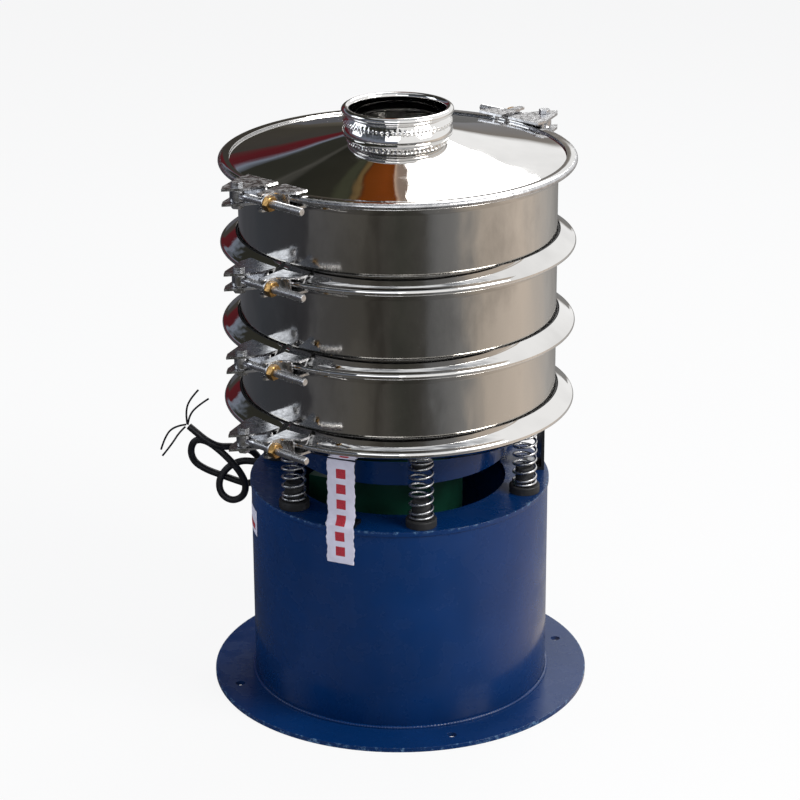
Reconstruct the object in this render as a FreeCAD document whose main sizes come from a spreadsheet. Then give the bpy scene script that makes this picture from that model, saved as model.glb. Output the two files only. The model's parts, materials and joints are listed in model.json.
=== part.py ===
"""Round vibrating sieve of the 400 mm class, as a parametric FreeCAD document.

Millimetres. The origin is the centre of the floor flange's underside, +Z is up and -Y is the front.
Azimuths are degrees from the front (-Y) towards +X. From the floor up: a base drum with six springs,
the vibrating table with its motor, three frames with two screens and a pan, and the lid with its inlet.
Each joint of the stack is held by a clamp ring of two equal halves and two swing bolts.
"""
import FreeCAD
import Part
import math
import os
import Sketcher
from FreeCAD import Placement, Rotation, Vector

SIZES = {
    # floor flange and drum
    "flange_radius": 246,
    "flange_opening_radius": 160,
    "flange_thickness": 6,
    "floor_hole_inset": 26,
    "floor_hole_diameter": 12,
    "floor_hole_count": 4,
    "floor_hole_azimuth": 17,
    "drum_radius": 192.5,
    "drum_wall": 4,
    "drum_height": 265,
    "weld_size": 3,
    # spring ring on the drum and what stands on it
    "ring_overhang": 1.5,
    "ring_opening_radius": 137.5,
    "ring_thickness": 6,
    "spring_circle_radius": 171,
    "spring_count": 6,
    "spring_azimuth": 9,
    "spring_length": 80,
    "spring_radius": 16,
    "spring_wire": 3.4,
    "spring_pitch": 12.6,
    "foot_radius": 19.5,
    "foot_height": 10,
    "foot_stub": 24,
    "foot_plug_radius": 6,
    "cap_height": 6,
    "cap_stub": 14,
    "spring_stub_clearance": 0.9,
    "bracket_azimuth": -22.5,
    "bracket_count": 3,
    "bracket_width": 34,
    "bracket_plate": 4,
    "bracket_face": 188,
    "bracket_foot": 22,
    "bracket_play": 6,
    "bracket_bolt_radius": 4,
    "bolt_hole_clearance": 0.5,
    "strip_width": 37,
    "strip_thickness": 0.5,
    "strip_drop": 48,
    # cable gland in the drum's wall
    "gland_azimuth": -118,
    "gland_drop": 19,
    "gland_thread_radius": 8,
    "gland_flats": 22,
    "gland_hex": 5,
    "gland_dome": 9,
    "cable_radius": 4.75,
    # vibrating table and its motor
    "table_plate": 5,
    "table_edge": 4,
    "skirt_radius": 140,
    "skirt_wall": 4,
    "skirt_drop": 55,
    "table_floor": 8,
    "motor_radius": 82,
    "motor_clearance": 1,
    "motor_flange_radius": 112,
    "motor_flange": 12,
    "motor_length": 176,
    "motor_bolt_circle": 196,
    "motor_bolt_radius": 5,
    "motor_bolt_count": 6,
    "shield_radius": 62,
    "shield_height": 10,
    "bearing_radius": 31,
    "bearing_height": 16,
    "shaft_radius": 15,
    "shaft_overhang": 40,
    "rotor_clearance": 5,
    "weight_radius": 92,
    "weight_thickness": 24,
    "weight_hub_radius": 30,
    "weight_gap": 4,
    "terminal_box_width": 70,
    "terminal_box_height": 56,
    "terminal_box_depth": 34,
    # frames, screens and pan
    "frame_radius": 200,
    "frame_wall": 1.5,
    "bottom_frame_pitch": 101.5,
    "middle_frame_pitch": 105.5,
    "top_frame_pitch": 105.5,
    "lip_rise": 13.3,
    "lip_reach": 13,
    "lip_angle": 35,
    "screen_ring_half": 2,
    "screen_ring_width": 22,
    "screen_ring_inset": 2,
    "screen_mesh": 0.6,
    "screen_fit": 0.2,
    "pan_height": 2,
    "pan_rise": 18,
    "pan_wall": 1.5,
    "spout_width": 84,
    "spout_height": 44,
    "spout_length": 84,
    "spout_wall": 1.5,
    "spout_rise": 4,
    "spout_rim": 4,
    "top_spout_azimuth": 180,
    "middle_spout_azimuth": 145,
    "bottom_spout_azimuth": 215,
    # lid and inlet
    "lid_rise": 32.5,
    "lid_wall": 1.5,
    "lid_lip": 7,
    "lid_seat": 0.9,
    "inlet_radius": 60,
    "inlet_height": 30.8,
    "inlet_bead": 5,
    "inlet_foot": 9,
    # clamp rings, their lugs and swing bolts
    "gasket_thickness": 1.5,
    "clamp_clearance": 0.1,
    "clamp_thickness": 2,
    "clamp_standoff": 4,
    "nose_half": 4,
    "clamp_gap": 4,
    "joint_azimuth": -42.5,
    "bolt_reach": 50,
    "pivot_offset": 30,
    "pivot_radius": 4,
    "pivot_clearance": 0.08,
    "hex_flats": 13,
    "hex_head": 5.3,
    "ear_inner": 7.8,
    "ear_thickness": 3,
    "ear_tip": 22,
    "eye_radius": 9,
    "eye_gap": 0.3,
    "rod_radius": 5,
    "rod_length": 108,
    "cheek_thickness": 3,
    "rod_slot_clearance": 0.5,
    "nut_seat": 49.4,
    "nut_gap": 0.3,
    "washer_radius": 10,
    "washer_thickness": 2,
    "nut_flats": 17,
    "nut_height": 8,
}

# Route of the supply cable, chosen by hand: out of the gland, then into the hank. Heights are over the gland.
CABLE_LEAD = [(-182.4, 97.0, 0.0), (-197.3, 104.9, 0.0), (-214.0, 104.9, -2.0)]
# Middle plane and half thickness of the hank, and its outline in X and Z.
HANK_Y = 100.0
HANK_HALF = 17.0
HANK_OUTLINE = [
    (-203, -40), (-203, 4), (-213, 20), (-236, 32), (-256, 45), (-271, 44), (-277, 57),
    (-286, 52), (-279, 38), (-284, 16), (-278, -6), (-258, -20), (-243, -24), (-243, -44),
    (-233, -60), (-221, -60), (-214, -47),
]
HANK_HOLE = [(-268, 20), (-252, 24), (-240, 10), (-238, -7), (-256, -6), (-268, 6)]
# The four bare cores fan out from the end of the sheath.
CORE_RADIUS = 1.3
CABLE_CORES = [
    [(-282.0, 100.0, 55.0), (-284.0, 101.0, 70.0), (-279.0, 102.0, 89.0), (-266.0, 102.0, 103.0)],
    [(-281.0, 97.0, 56.0), (-279.0, 95.0, 69.0), (-268.0, 94.0, 83.0), (-252.0, 93.0, 94.0)],
    [(-284.0, 103.0, 53.5), (-298.0, 105.0, 51.0), (-312.0, 107.0, 38.0), (-319.0, 108.0, 16.0)],
    [(-284.5, 98.0, 52.5), (-293.0, 96.0, 45.0), (-303.0, 94.0, 29.0), (-316.0, 93.0, 13.0)],
]
HALF_TURN = 180
AXIS_LENGTH = 50

doc = FreeCAD.newDocument("vibrating_sieve")
sheet = doc.addObject("Spreadsheet::Sheet", "Sizes")
for row, (alias, number) in enumerate(SIZES.items(), start=1):
    sheet.set(f"A{row}", alias)
    sheet.set(f"B{row}", str(number))
    sheet.setAlias(f"B{row}", alias)
doc.recompute()


class Formula:
    """A size worked out from the sheet: the expression that binds it and its value now."""

    def __init__(self, text, value):
        self.text = text
        self.value = value

    def __add__(self, other):
        return combine(self, "+", other)

    def __radd__(self, other):
        return combine(other, "+", self)

    def __sub__(self, other):
        return combine(self, "-", other)

    def __rsub__(self, other):
        return combine(other, "-", self)

    def __mul__(self, other):
        return combine(self, "*", other)

    def __rmul__(self, other):
        return combine(other, "*", self)

    def __truediv__(self, other):
        return combine(self, "/", other)

    def __rtruediv__(self, other):
        return combine(other, "/", self)

    def __neg__(self):
        return combine(0, "-", self)


def formula(size):
    """A plain number as a Formula; a Formula stays as it is."""
    return size if isinstance(size, Formula) else Formula(repr(size), float(size))


def combine(left, sign, right):
    left = formula(left)
    right = formula(right)
    results = {
        "+": lambda: left.value + right.value,
        "-": lambda: left.value - right.value,
        "*": lambda: left.value * right.value,
        "/": lambda: left.value / right.value,
    }
    return Formula(f"({left.text} {sign} {right.text})", results[sign]())


def of_angle(function, degrees):
    """sin, cos or tan of an angle in degrees."""
    degrees = formula(degrees)
    return Formula(f"{function}({degrees.text})", getattr(math, function)(math.radians(degrees.value)))


class Cells:
    """Gives each cell of the sheet as a Formula: dim.drum_radius."""

    def __getattr__(self, alias):
        return Formula(f"Sizes.{alias}", float(sheet.get(alias)))


dim = Cells()


# ---- helpers that make bodies, sketches and features ----

def origin_item(body, role):
    """The plane or axis of a body's own origin with that role."""
    return next(item for item in body.Origin.OriginFeatures if item.Role == role)


def bind(item, name, size):
    """Sets a property and ties it to the sheet."""
    size = formula(size)
    setattr(item, name, size.value)
    if "Sizes." in size.text:
        item.setExpression(name, size.text)


def new_body(name):
    body = doc.addObject("PartDesign::Body", name)
    body.Label = name
    return body


def place(item, turn=0, height=0):
    """Turns an object about Z and lifts it, both tied to the sheet."""
    turn = formula(turn)
    height = formula(height)
    item.Placement = Placement(Vector(0, 0, height.value), Rotation(Vector(0, 0, 1), turn.value))
    item.setExpression("Placement.Rotation.Angle", turn.text)
    item.setExpression("Placement.Base.z", height.text)
    return item


def new_sketch(body, name, plane, offset=0):
    """An empty sketch on one of the body's own origin planes, moved along the plane's normal."""
    sketch = body.newObject("Sketcher::SketchObject", f"{body.Name}_{name}")
    sketch.AttachmentSupport = [(origin_item(body, plane), "")]
    sketch.MapMode = "FlatFace"
    offset = formula(offset)
    if "Sizes." in offset.text:
        sketch.AttachmentOffset = Placement(Vector(0, 0, offset.value), Rotation())
        sketch.setExpression("AttachmentOffset.Base.z", offset.text)
    return sketch


def pin_point(sketch, side, end, point):
    """Fixes one point of a sketch at its two coordinates."""
    for kind, size, axis in (("DistanceX", point[0], -2), ("DistanceY", point[1], -1)):
        size = formula(size)
        if abs(size.value) < 1e-9:
            sketch.addConstraint(Sketcher.Constraint("PointOnObject", side, end, axis))
        else:
            index = sketch.addConstraint(Sketcher.Constraint(kind, -1, 1, side, end, size.value))
            if "Sizes." in size.text:
                sketch.setExpression(f"Constraints[{index}]", size.text)


def outline(sketch, points, arcs=None):
    """A closed outline through points. arcs gives, for the number of a side, its arc's centre X and bulge side."""
    arcs = arcs or {}
    count = len(points)
    spots = [Vector(formula(x).value, formula(y).value, 0) for x, y in points]
    first_end = []
    for side, start in enumerate(spots):
        stop = spots[(side + 1) % count]
        if side in arcs:
            centre_x, bulge = formula(arcs[side][0]), arcs[side][1]
            # The centre lies on the chord's bisector, at the X that is given.
            middle = (start + stop) * 0.5
            along = stop - start
            step = (centre_x.value - middle.x) / -along.y if abs(along.y) > 1e-9 else 0.0
            centre = middle + Vector(-along.y, along.x, 0) * step
            radius = (start - centre).Length
            out = Vector(*bulge, 0).normalize()
            geometry = Part.Arc(start, centre + out * radius, stop)
        else:
            geometry = Part.LineSegment(start, stop)
        index = sketch.addGeometry(geometry, False)
        forward = (sketch.Geometry[index].StartPoint - start).Length < 1e-6
        first_end.append(1 if forward else 2)
    for side in range(count):
        following = (side + 1) % count
        sketch.addConstraint(Sketcher.Constraint(
            "Coincident", side, 3 - first_end[side], following, first_end[following]))
    for side, point in enumerate(points):
        pin_point(sketch, side, first_end[side], point)
    for side, (centre_x, bulge) in arcs.items():
        size = formula(centre_x)
        index = sketch.addConstraint(Sketcher.Constraint("DistanceX", -1, 1, side, 3, size.value))
        sketch.setExpression(f"Constraints[{index}]", size.text)
    return sketch


def circle(sketch, centre, radius):
    """A circle with its centre and radius tied to the sheet."""
    spot = Vector(formula(centre[0]).value, formula(centre[1]).value, 0)
    radius = formula(radius)
    side = sketch.addGeometry(Part.Circle(spot, Vector(0, 0, 1), radius.value), False)
    pin_point(sketch, side, 3, centre)
    index = sketch.addConstraint(Sketcher.Constraint("Radius", side, radius.value))
    sketch.setExpression(f"Constraints[{index}]", radius.text)
    return sketch


def hexagon(sketch, centre, flats):
    """A hexagon with two flats parallel to the sketch's X axis."""
    reach = flats / 2 * (1 / of_angle("cos", 30))
    corners = []
    for corner in range(6):
        turn = 60 * corner
        corners.append((centre[0] + reach * of_angle("cos", turn), centre[1] + reach * of_angle("sin", turn)))
    return outline(sketch, corners)


def feature(body, kind, name, sketch, size=None, reverse=False, symmetric=False):
    """A pad, pocket, revolution or groove of that sketch."""
    item = body.newObject(f"PartDesign::{kind}", f"{body.Name}_{name}")
    item.Profile = sketch
    if kind in ("Pad", "Pocket"):
        bind(item, "Length", size)
        if symmetric:
            item.SideType = "Symmetric"
    else:
        item.ReferenceAxis = (sketch, ["V_Axis"])
        bind(item, "Angle", 360 if size is None else size)
        item.Midplane = symmetric
    item.Reversed = reverse
    return item


def cut(body, name, sketch, length, reverse=False, symmetric=False):
    """A pocket that is checked to take something away."""
    doc.recompute()
    before = body.Shape.Volume
    item = feature(body, "Pocket", name, sketch, length, reverse, symmetric)
    doc.recompute()
    if not body.Shape.Volume < before - 1e-3:
        raise RuntimeError(f"{body.Label}: {name} cuts nothing")
    return item


def around(body, item, count, name="pattern"):
    """Repeats a feature evenly about Z."""
    pattern = body.newObject("PartDesign::PolarPattern", f"{body.Name}_{name}")
    pattern.Originals = [item]
    pattern.Axis = (origin_item(body, "Z_Axis"), [""])
    pattern.Angle = 360
    pattern.Occurrences = int(count.value)
    pattern.setExpression("Occurrences", count.text)
    body.Tip = pattern
    return pattern


def turned(name, points, arcs=None):
    """A body turned about Z from its half section (radius, height)."""
    body = new_body(name)
    sketch = outline(new_sketch(body, "section", "XZ_Plane"), points, arcs)
    feature(body, "Revolution", "turn", sketch)
    return body


def turned_ring(name, inner, outer, low, high):
    """A plain ring or disc of rectangular section."""
    return turned(name, [(inner, low), (outer, low), (outer, high), (inner, high)])


def grouped(name, items):
    """Several bodies that make one node, as separate solids."""
    group = doc.addObject("Part::Compound", name)
    group.Label = name
    group.Links = items
    return group


def azimuth(degrees):
    """The turn about Z that brings +X to an azimuth counted from the front."""
    return degrees - 90


# ---- heights and the slanted section that lips, gaskets and clamps share ----

DRUM_TOP = dim.flange_thickness + dim.drum_height
GLAND_LEVEL = DRUM_TOP - dim.gland_drop
RING_TOP = DRUM_TOP + dim.ring_thickness
SPRING_FOOT = RING_TOP + dim.foot_height
SPRING_TOP = SPRING_FOOT + dim.spring_length
TABLE_UNDER = SPRING_TOP + dim.cap_height
LOWER_CLAMP = TABLE_UNDER + dim.table_edge + dim.lip_rise
MIDDLE_CLAMP = LOWER_CLAMP + dim.bottom_frame_pitch
UPPER_CLAMP = MIDDLE_CLAMP + dim.middle_frame_pitch
LID_CLAMP = UPPER_CLAMP + dim.top_frame_pitch

SLOPE = of_angle("tan", dim.lip_angle)
SLANT = of_angle("cos", dim.lip_angle)
INNER_RADIUS = dim.frame_radius - dim.frame_wall
LIP_TIP = dim.frame_radius + dim.lip_reach


def lip_outer(radius):
    """Height of a lip's outer face over the middle of its clamp."""
    return dim.lip_rise - (radius - dim.frame_radius) * SLOPE


def lip_inner(radius):
    return lip_outer(radius) - dim.frame_wall / SLANT


def gasket_outer(radius):
    return lip_outer(radius) + dim.gasket_thickness / SLANT


def leg_inner(radius):
    return gasket_outer(radius) + dim.clamp_clearance / SLANT


def leg_outer(radius):
    return leg_inner(radius) + dim.clamp_thickness / SLANT


# ---- base ----

BRACKET_BOLT = dim.bracket_face - (dim.bracket_foot + dim.bracket_plate) / 2


def make_floor_flange():
    body = new_body("floor_flange")
    sketch = new_sketch(body, "plan", "XY_Plane")
    circle(sketch, (0, 0), dim.flange_radius)
    circle(sketch, (0, 0), dim.flange_opening_radius)
    feature(body, "Pad", "plate", sketch, dim.flange_thickness)
    circle_radius = dim.flange_radius - dim.floor_hole_inset
    hole = circle(new_sketch(body, "hole", "XY_Plane"), (circle_radius, 0), dim.floor_hole_diameter / 2)
    drilled = cut(body, "floor_hole", hole, dim.flange_thickness, reverse=True)
    around(body, drilled, dim.floor_hole_count)
    return place(body, azimuth(dim.floor_hole_azimuth))


def make_base_drum():
    """The rolled drum with its foot weld, bored for the cable gland."""
    foot = dim.flange_thickness
    body = turned("base_drum", [
        (dim.drum_radius - dim.drum_wall, foot),
        (dim.drum_radius + dim.weld_size, foot),
        (dim.drum_radius, foot + dim.weld_size),
        (dim.drum_radius, DRUM_TOP),
        (dim.drum_radius - dim.drum_wall, DRUM_TOP),
    ])
    hole = circle(new_sketch(body, "gland_hole", "YZ_Plane"), (0, GLAND_LEVEL), dim.gland_thread_radius)
    cut(body, "gland_bore", hole, dim.drum_radius * 1.1, reverse=True)
    return place(body, azimuth(dim.gland_azimuth))


def make_spring_ring():
    """The annulus that carries the springs, with a hole for each foot's plug and bracket's bolt."""
    body = new_body("spring_ring")
    sketch = new_sketch(body, "plan", "XY_Plane")
    circle(sketch, (0, 0), dim.drum_radius + dim.ring_overhang)
    circle(sketch, (0, 0), dim.ring_opening_radius)
    feature(body, "Pad", "plate", sketch, dim.ring_thickness)
    plug = circle(new_sketch(body, "plug_hole", "XY_Plane"), (dim.spring_circle_radius, 0), dim.foot_plug_radius)
    plugs = cut(body, "plug_bore", plug, dim.ring_thickness, reverse=True)
    around(body, plugs, dim.spring_count, "plug_pattern")
    turn = dim.bracket_azimuth - dim.spring_azimuth
    reach = BRACKET_BOLT
    spot = (reach * of_angle("cos", turn), reach * of_angle("sin", turn))
    bolt = circle(new_sketch(body, "bolt_hole", "XY_Plane"), spot, dim.bracket_bolt_radius)
    bolts = cut(body, "bolt_bore", bolt, dim.ring_thickness, reverse=True)
    around(body, bolts, dim.bracket_count, "bolt_pattern")
    return place(body, azimuth(dim.spring_azimuth), DRUM_TOP)


def spring_set(name, points, height):
    """One turned rubber seat at each spring, from its half section about the spring's own axis."""
    body = new_body(name)
    sketch = new_sketch(body, "section", "XZ_Plane")
    outline(sketch, [(dim.spring_circle_radius + x, z) for x, z in points])
    axis = sketch.addGeometry(Part.LineSegment(
        Vector(dim.spring_circle_radius.value, 0, 0), Vector(dim.spring_circle_radius.value, AXIS_LENGTH, 0)), True)
    sketch.addConstraint(Sketcher.Constraint("Vertical", axis))
    pin_point(sketch, axis, 1, (dim.spring_circle_radius, 0))
    item = feature(body, "Revolution", "turn", sketch)
    item.ReferenceAxis = (sketch, ["Axis0"])
    around(body, item, dim.spring_count)
    return place(body, azimuth(dim.spring_azimuth), height)


def make_spring_feet():
    stub = dim.spring_radius - dim.spring_wire - dim.spring_stub_clearance
    top = dim.foot_height + dim.foot_stub
    return spring_set("spring_feet", [
        (0, -dim.ring_thickness),
        (dim.foot_plug_radius, -dim.ring_thickness),
        (dim.foot_plug_radius, 0),
        (dim.foot_radius, 0),
        (dim.foot_radius, dim.foot_height - 1),
        (dim.foot_radius - 1, dim.foot_height),
        (stub, dim.foot_height),
        (stub, top - 2),
        (stub - 2, top),
        (0, top),
    ], RING_TOP)


def make_spring_caps():
    stub = dim.spring_radius - dim.spring_wire - dim.spring_stub_clearance
    return spring_set("spring_caps", [
        (0, -dim.cap_stub),
        (stub - 2, -dim.cap_stub),
        (stub, 2 - dim.cap_stub),
        (stub, 0),
        (dim.foot_radius - 1, 0),
        (dim.foot_radius, 1),
        (dim.foot_radius, dim.cap_height),
        (0, dim.cap_height),
    ], SPRING_TOP)


def make_springs():
    """Six helical springs: a hexagonal wire section lofted along the helix, ten stations to a turn."""
    wire = dim.spring_wire.value / 2
    coil = dim.spring_radius.value - wire
    turns = (dim.spring_length.value - 2 * wire) / dim.spring_pitch.value
    stations = int(turns * 10) + 1
    sections = []
    for station in range(stations + 1):
        part = station / stations
        turn = part * turns * 2 * math.pi
        outward = Vector(math.cos(turn), math.sin(turn), 0)
        centre = outward * coil + Vector(0, 0, wire + part * turns * dim.spring_pitch.value)
        corners = []
        for corner in range(6):
            angle = math.radians(60 * corner)
            corners.append(centre + outward * wire * math.cos(angle) + Vector(0, 0, wire * math.sin(angle)))
        sections.append(Part.makePolygon(corners + corners[:1]))
    spring = Part.makeLoft(sections, True, True)
    count = int(dim.spring_count.value)
    springs = []
    for number in range(count):
        copy = spring.copy()
        copy.translate(Vector(dim.spring_circle_radius.value, 0, 0))
        copy.rotate(Vector(), Vector(0, 0, 1), 360 / count * number)
        springs.append(copy)
    item = doc.addObject("Part::Feature", "springs")
    item.Label = "springs"
    item.Shape = Part.makeCompound(springs)
    return place(item, azimuth(dim.spring_azimuth), SPRING_FOOT)


def make_transit_brackets():
    """Z-shaped plates bolted to the ring; their upper feet are clear of the table."""
    top = TABLE_UNDER - RING_TOP - dim.bracket_play
    face = dim.bracket_face
    plate = dim.bracket_plate
    root = face - dim.bracket_foot
    body = new_body("transit_brackets")
    sketch = outline(new_sketch(body, "section", "XZ_Plane"), [
        (root, 0), (face, 0), (face, top), (root, top), (root, top - plate),
        (face - plate, top - plate), (face - plate, plate), (root, plate),
    ])
    bent = feature(body, "Pad", "plate", sketch, dim.bracket_width, symmetric=True)
    around(body, bent, dim.bracket_count, "plate_pattern")
    hole = circle(new_sketch(body, "holes", "XY_Plane"), (BRACKET_BOLT, 0),
                  dim.bracket_bolt_radius + dim.bolt_hole_clearance)
    drilled = cut(body, "bolt_holes", hole, top, reverse=True)
    around(body, drilled, dim.bracket_count, "hole_pattern")
    return place(body, azimuth(dim.bracket_azimuth), RING_TOP)


def bolt_set(name, reach, count, flats, head, shank_radius, shank, turn, height, head_below=False):
    """Equal hexagon bolts round a circle: heads on one side of height, shanks on the other."""
    body = new_body(name)
    heads = hexagon(new_sketch(body, "head", "XY_Plane"), (reach, 0), flats)
    head_item = feature(body, "Pad", "heads", heads, head, reverse=head_below)
    shanks = circle(new_sketch(body, "shank", "XY_Plane"), (reach, 0), shank_radius)
    shank_item = feature(body, "Pad", "shanks", shanks, shank, reverse=not head_below)
    pattern = around(body, head_item, count)
    pattern.Originals = [head_item, shank_item]
    return place(body, turn, height)


def make_bracket_bolts():
    return bolt_set("bracket_bolts", BRACKET_BOLT, dim.bracket_count, dim.hex_flats,
                    dim.hex_head, dim.bracket_bolt_radius, dim.ring_thickness + dim.bracket_plate,
                    azimuth(dim.bracket_azimuth), RING_TOP + dim.bracket_plate)


def make_transit_bolts():
    """Bolts that hang from the table through the brackets' upper feet, slackened by the play."""
    drop = dim.bracket_play + dim.bracket_plate + dim.bracket_play
    return bolt_set("transit_bolts", BRACKET_BOLT, dim.bracket_count, dim.hex_flats,
                    dim.hex_head, dim.bracket_bolt_radius, drop + dim.table_plate,
                    azimuth(dim.bracket_azimuth), TABLE_UNDER - drop, head_below=True)


def make_notice_strip():
    """A paper strip pasted on the front bracket, over the ring's edge and onto the drum."""
    paper = dim.strip_thickness
    face = dim.bracket_face
    edge = dim.drum_radius + dim.ring_overhang
    top = TABLE_UNDER - RING_TOP - dim.bracket_play
    body = new_body("notice_strip")
    sketch = outline(new_sketch(body, "section", "XZ_Plane"), [
        (face, 0), (edge, 0), (edge, -dim.ring_thickness), (dim.drum_radius + paper, -dim.strip_drop),
        (dim.drum_radius + paper * 2, -dim.strip_drop), (edge + paper, -dim.ring_thickness),
        (edge + paper, paper), (face + paper, paper + 3),
        (face + paper, top), (face, top),
    ])
    feature(body, "Pad", "strip", sketch, dim.strip_width, symmetric=True)
    return place(body, azimuth(dim.bracket_azimuth), RING_TOP)


def make_cable_gland():
    """A gland screwed through the drum's wall, with its hexagon and domed nut outside."""
    wall = dim.drum_wall
    outside = dim.drum_radius
    body = new_body("cable_gland")
    thread = circle(new_sketch(body, "thread", "YZ_Plane", outside - wall - 6), (0, 0), dim.gland_thread_radius)
    feature(body, "Pad", "thread_pad", thread, wall + 6)
    lock = hexagon(new_sketch(body, "lock", "YZ_Plane", outside - wall - 4.8), (0, 0), dim.gland_flats)
    feature(body, "Pad", "lock_nut", lock, 4)
    collar = hexagon(new_sketch(body, "collar", "YZ_Plane", outside), (0, 0), dim.gland_flats)
    feature(body, "Pad", "collar_pad", collar, dim.gland_hex)
    dome = circle(new_sketch(body, "dome", "YZ_Plane", outside + dim.gland_hex), (0, 0), dim.gland_flats / 2 - 1)
    feature(body, "Pad", "dome_pad", dome, dim.gland_dome)
    bore = circle(new_sketch(body, "bore", "YZ_Plane", outside - wall - 7), (0, 0), dim.cable_radius)
    cut(body, "cable_bore", bore, wall + 7 + dim.gland_hex + dim.gland_dome, reverse=True)
    return place(body, azimuth(dim.gland_azimuth), GLAND_LEVEL)


# ---- vibrating table and motor ----

TABLE_TOP = LOWER_CLAMP - lip_inner(INNER_RADIUS)
SKIRT_FOOT = TABLE_UNDER - dim.skirt_drop
FLOOR_TOP = SKIRT_FOOT + dim.table_floor
MOTOR_FOOT = FLOOR_TOP - dim.motor_length
MOTOR_TOP = FLOOR_TOP + dim.motor_flange


def make_vibrating_table():
    """Plate with the clamped lip, skirt and the floor that the motor's flange bolts to."""
    inner = dim.skirt_radius - dim.skirt_wall
    body = turned("vibrating_table", [
        (dim.motor_radius + dim.motor_clearance, SKIRT_FOOT),
        (dim.skirt_radius, SKIRT_FOOT),
        (dim.skirt_radius, TABLE_UNDER),
        (dim.frame_radius, TABLE_UNDER),
        (dim.frame_radius, LOWER_CLAMP - dim.lip_rise),
        (LIP_TIP, LOWER_CLAMP - lip_outer(LIP_TIP)),
        (LIP_TIP, LOWER_CLAMP - lip_inner(LIP_TIP)),
        (INNER_RADIUS, TABLE_TOP),
        (inner, TABLE_TOP),
        (inner, FLOOR_TOP),
        (dim.motor_radius + dim.motor_clearance, FLOOR_TOP),
    ])
    place(body, azimuth(dim.bracket_azimuth))
    hole = circle(new_sketch(body, "bracket_hole", "XY_Plane", TABLE_UNDER),
                  (BRACKET_BOLT, 0), dim.bracket_bolt_radius)
    drilled = cut(body, "bracket_bore", hole, TABLE_TOP - TABLE_UNDER + 1, reverse=True)
    around(body, drilled, dim.bracket_count, "bracket_pattern")
    hole = circle(new_sketch(body, "motor_hole", "XY_Plane", SKIRT_FOOT),
                  (dim.motor_bolt_circle / 2, 0), dim.motor_bolt_radius)
    drilled = cut(body, "motor_bore", hole, dim.table_floor + 1, reverse=True)
    around(body, drilled, dim.motor_bolt_count, "motor_pattern")
    return body


def make_motor_casing():
    """Vertical flanged casing, bored for the shaft and for a bearing at each end."""
    bore = dim.shaft_radius + dim.rotor_clearance
    seat = dim.bearing_height
    body = turned("motor_casing", [
        (bore, MOTOR_FOOT + seat),
        (dim.bearing_radius, MOTOR_FOOT + seat),
        (dim.bearing_radius, MOTOR_FOOT),
        (dim.motor_radius - 4, MOTOR_FOOT),
        (dim.motor_radius, MOTOR_FOOT + 4),
        (dim.motor_radius, FLOOR_TOP),
        (dim.motor_flange_radius, FLOOR_TOP),
        (dim.motor_flange_radius, MOTOR_TOP),
        (dim.bearing_radius, MOTOR_TOP),
        (dim.bearing_radius, MOTOR_TOP - seat),
        (bore, MOTOR_TOP - seat),
    ])
    place(body, azimuth(dim.bracket_azimuth))
    hole = circle(new_sketch(body, "bolt_hole", "XY_Plane", FLOOR_TOP),
                  (dim.motor_bolt_circle / 2, 0), dim.motor_bolt_radius)
    drilled = cut(body, "bolt_bore", hole, dim.motor_flange + 1, reverse=True)
    around(body, drilled, dim.motor_bolt_count)
    return body


def make_motor_bolts():
    return bolt_set("motor_bolts", dim.motor_bolt_circle / 2, dim.motor_bolt_count, dim.nut_flats, dim.nut_height,
                    dim.motor_bolt_radius, dim.motor_flange + dim.table_floor,
                    azimuth(dim.bracket_azimuth), MOTOR_TOP)


def make_motor_shields():
    """The two covers that hold the bearings in the casing."""
    bore = dim.shaft_radius + dim.rotor_clearance
    upper = turned_ring("upper_shield", bore, dim.shield_radius, MOTOR_TOP, MOTOR_TOP + dim.shield_height)
    lower = turned_ring("lower_shield", bore, dim.shield_radius, MOTOR_FOOT - dim.shield_height, MOTOR_FOOT)
    return grouped("motor_shields", [upper, lower])


def make_motor_bearings():
    """Ball bearings, drawn as rings that the shaft runs in."""
    bore = dim.shaft_radius + dim.pivot_clearance
    upper = turned_ring("upper_bearing", bore, dim.bearing_radius, MOTOR_TOP - dim.bearing_height, MOTOR_TOP)
    lower = turned_ring("lower_bearing", bore, dim.bearing_radius, MOTOR_FOOT, MOTOR_FOOT + dim.bearing_height)
    return grouped("motor_bearings", [upper, lower])


def make_terminal_box():
    """Box on the casing's back; its foot is hollowed to the casing's curve."""
    middle = (MOTOR_FOOT + FLOOR_TOP) / 2
    half = dim.terminal_box_height / 2
    wide = dim.terminal_box_width / 2
    body = new_body("terminal_box")
    plan = outline(new_sketch(body, "plan", "YZ_Plane"), [
        (-wide, middle - half), (wide, middle - half), (wide, middle + half), (-wide, middle + half)])
    feature(body, "Pad", "box", plan, dim.motor_radius + dim.terminal_box_depth)
    hollow = circle(new_sketch(body, "hollow", "XY_Plane", MOTOR_FOOT), (0, 0), dim.motor_radius)
    cut(body, "casing_seat", hollow, dim.motor_length, reverse=True)
    return place(body, azimuth(dim.gland_azimuth))


def make_rotor_shaft():
    over = dim.shield_height + dim.shaft_overhang
    return turned_ring("rotor_shaft", 0, dim.shaft_radius, MOTOR_FOOT - over, MOTOR_TOP + over)


def eccentric(name, low):
    """Half disc of the unbalance weight with its clamping hub, bored for the shaft."""
    body = new_body(name)
    fan = new_sketch(body, "fan", "XY_Plane", low)
    half_disc(fan, dim.weight_radius)
    feature(body, "Pad", "fan_pad", fan, dim.weight_thickness)
    hub = circle(new_sketch(body, "hub", "XY_Plane", low), (0, 0), dim.weight_hub_radius)
    feature(body, "Pad", "hub_pad", hub, dim.weight_thickness)
    bore = circle(new_sketch(body, "bore", "XY_Plane", low), (0, 0), dim.shaft_radius)
    cut(body, "shaft_bore", bore, dim.weight_thickness, reverse=True)
    return body


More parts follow.
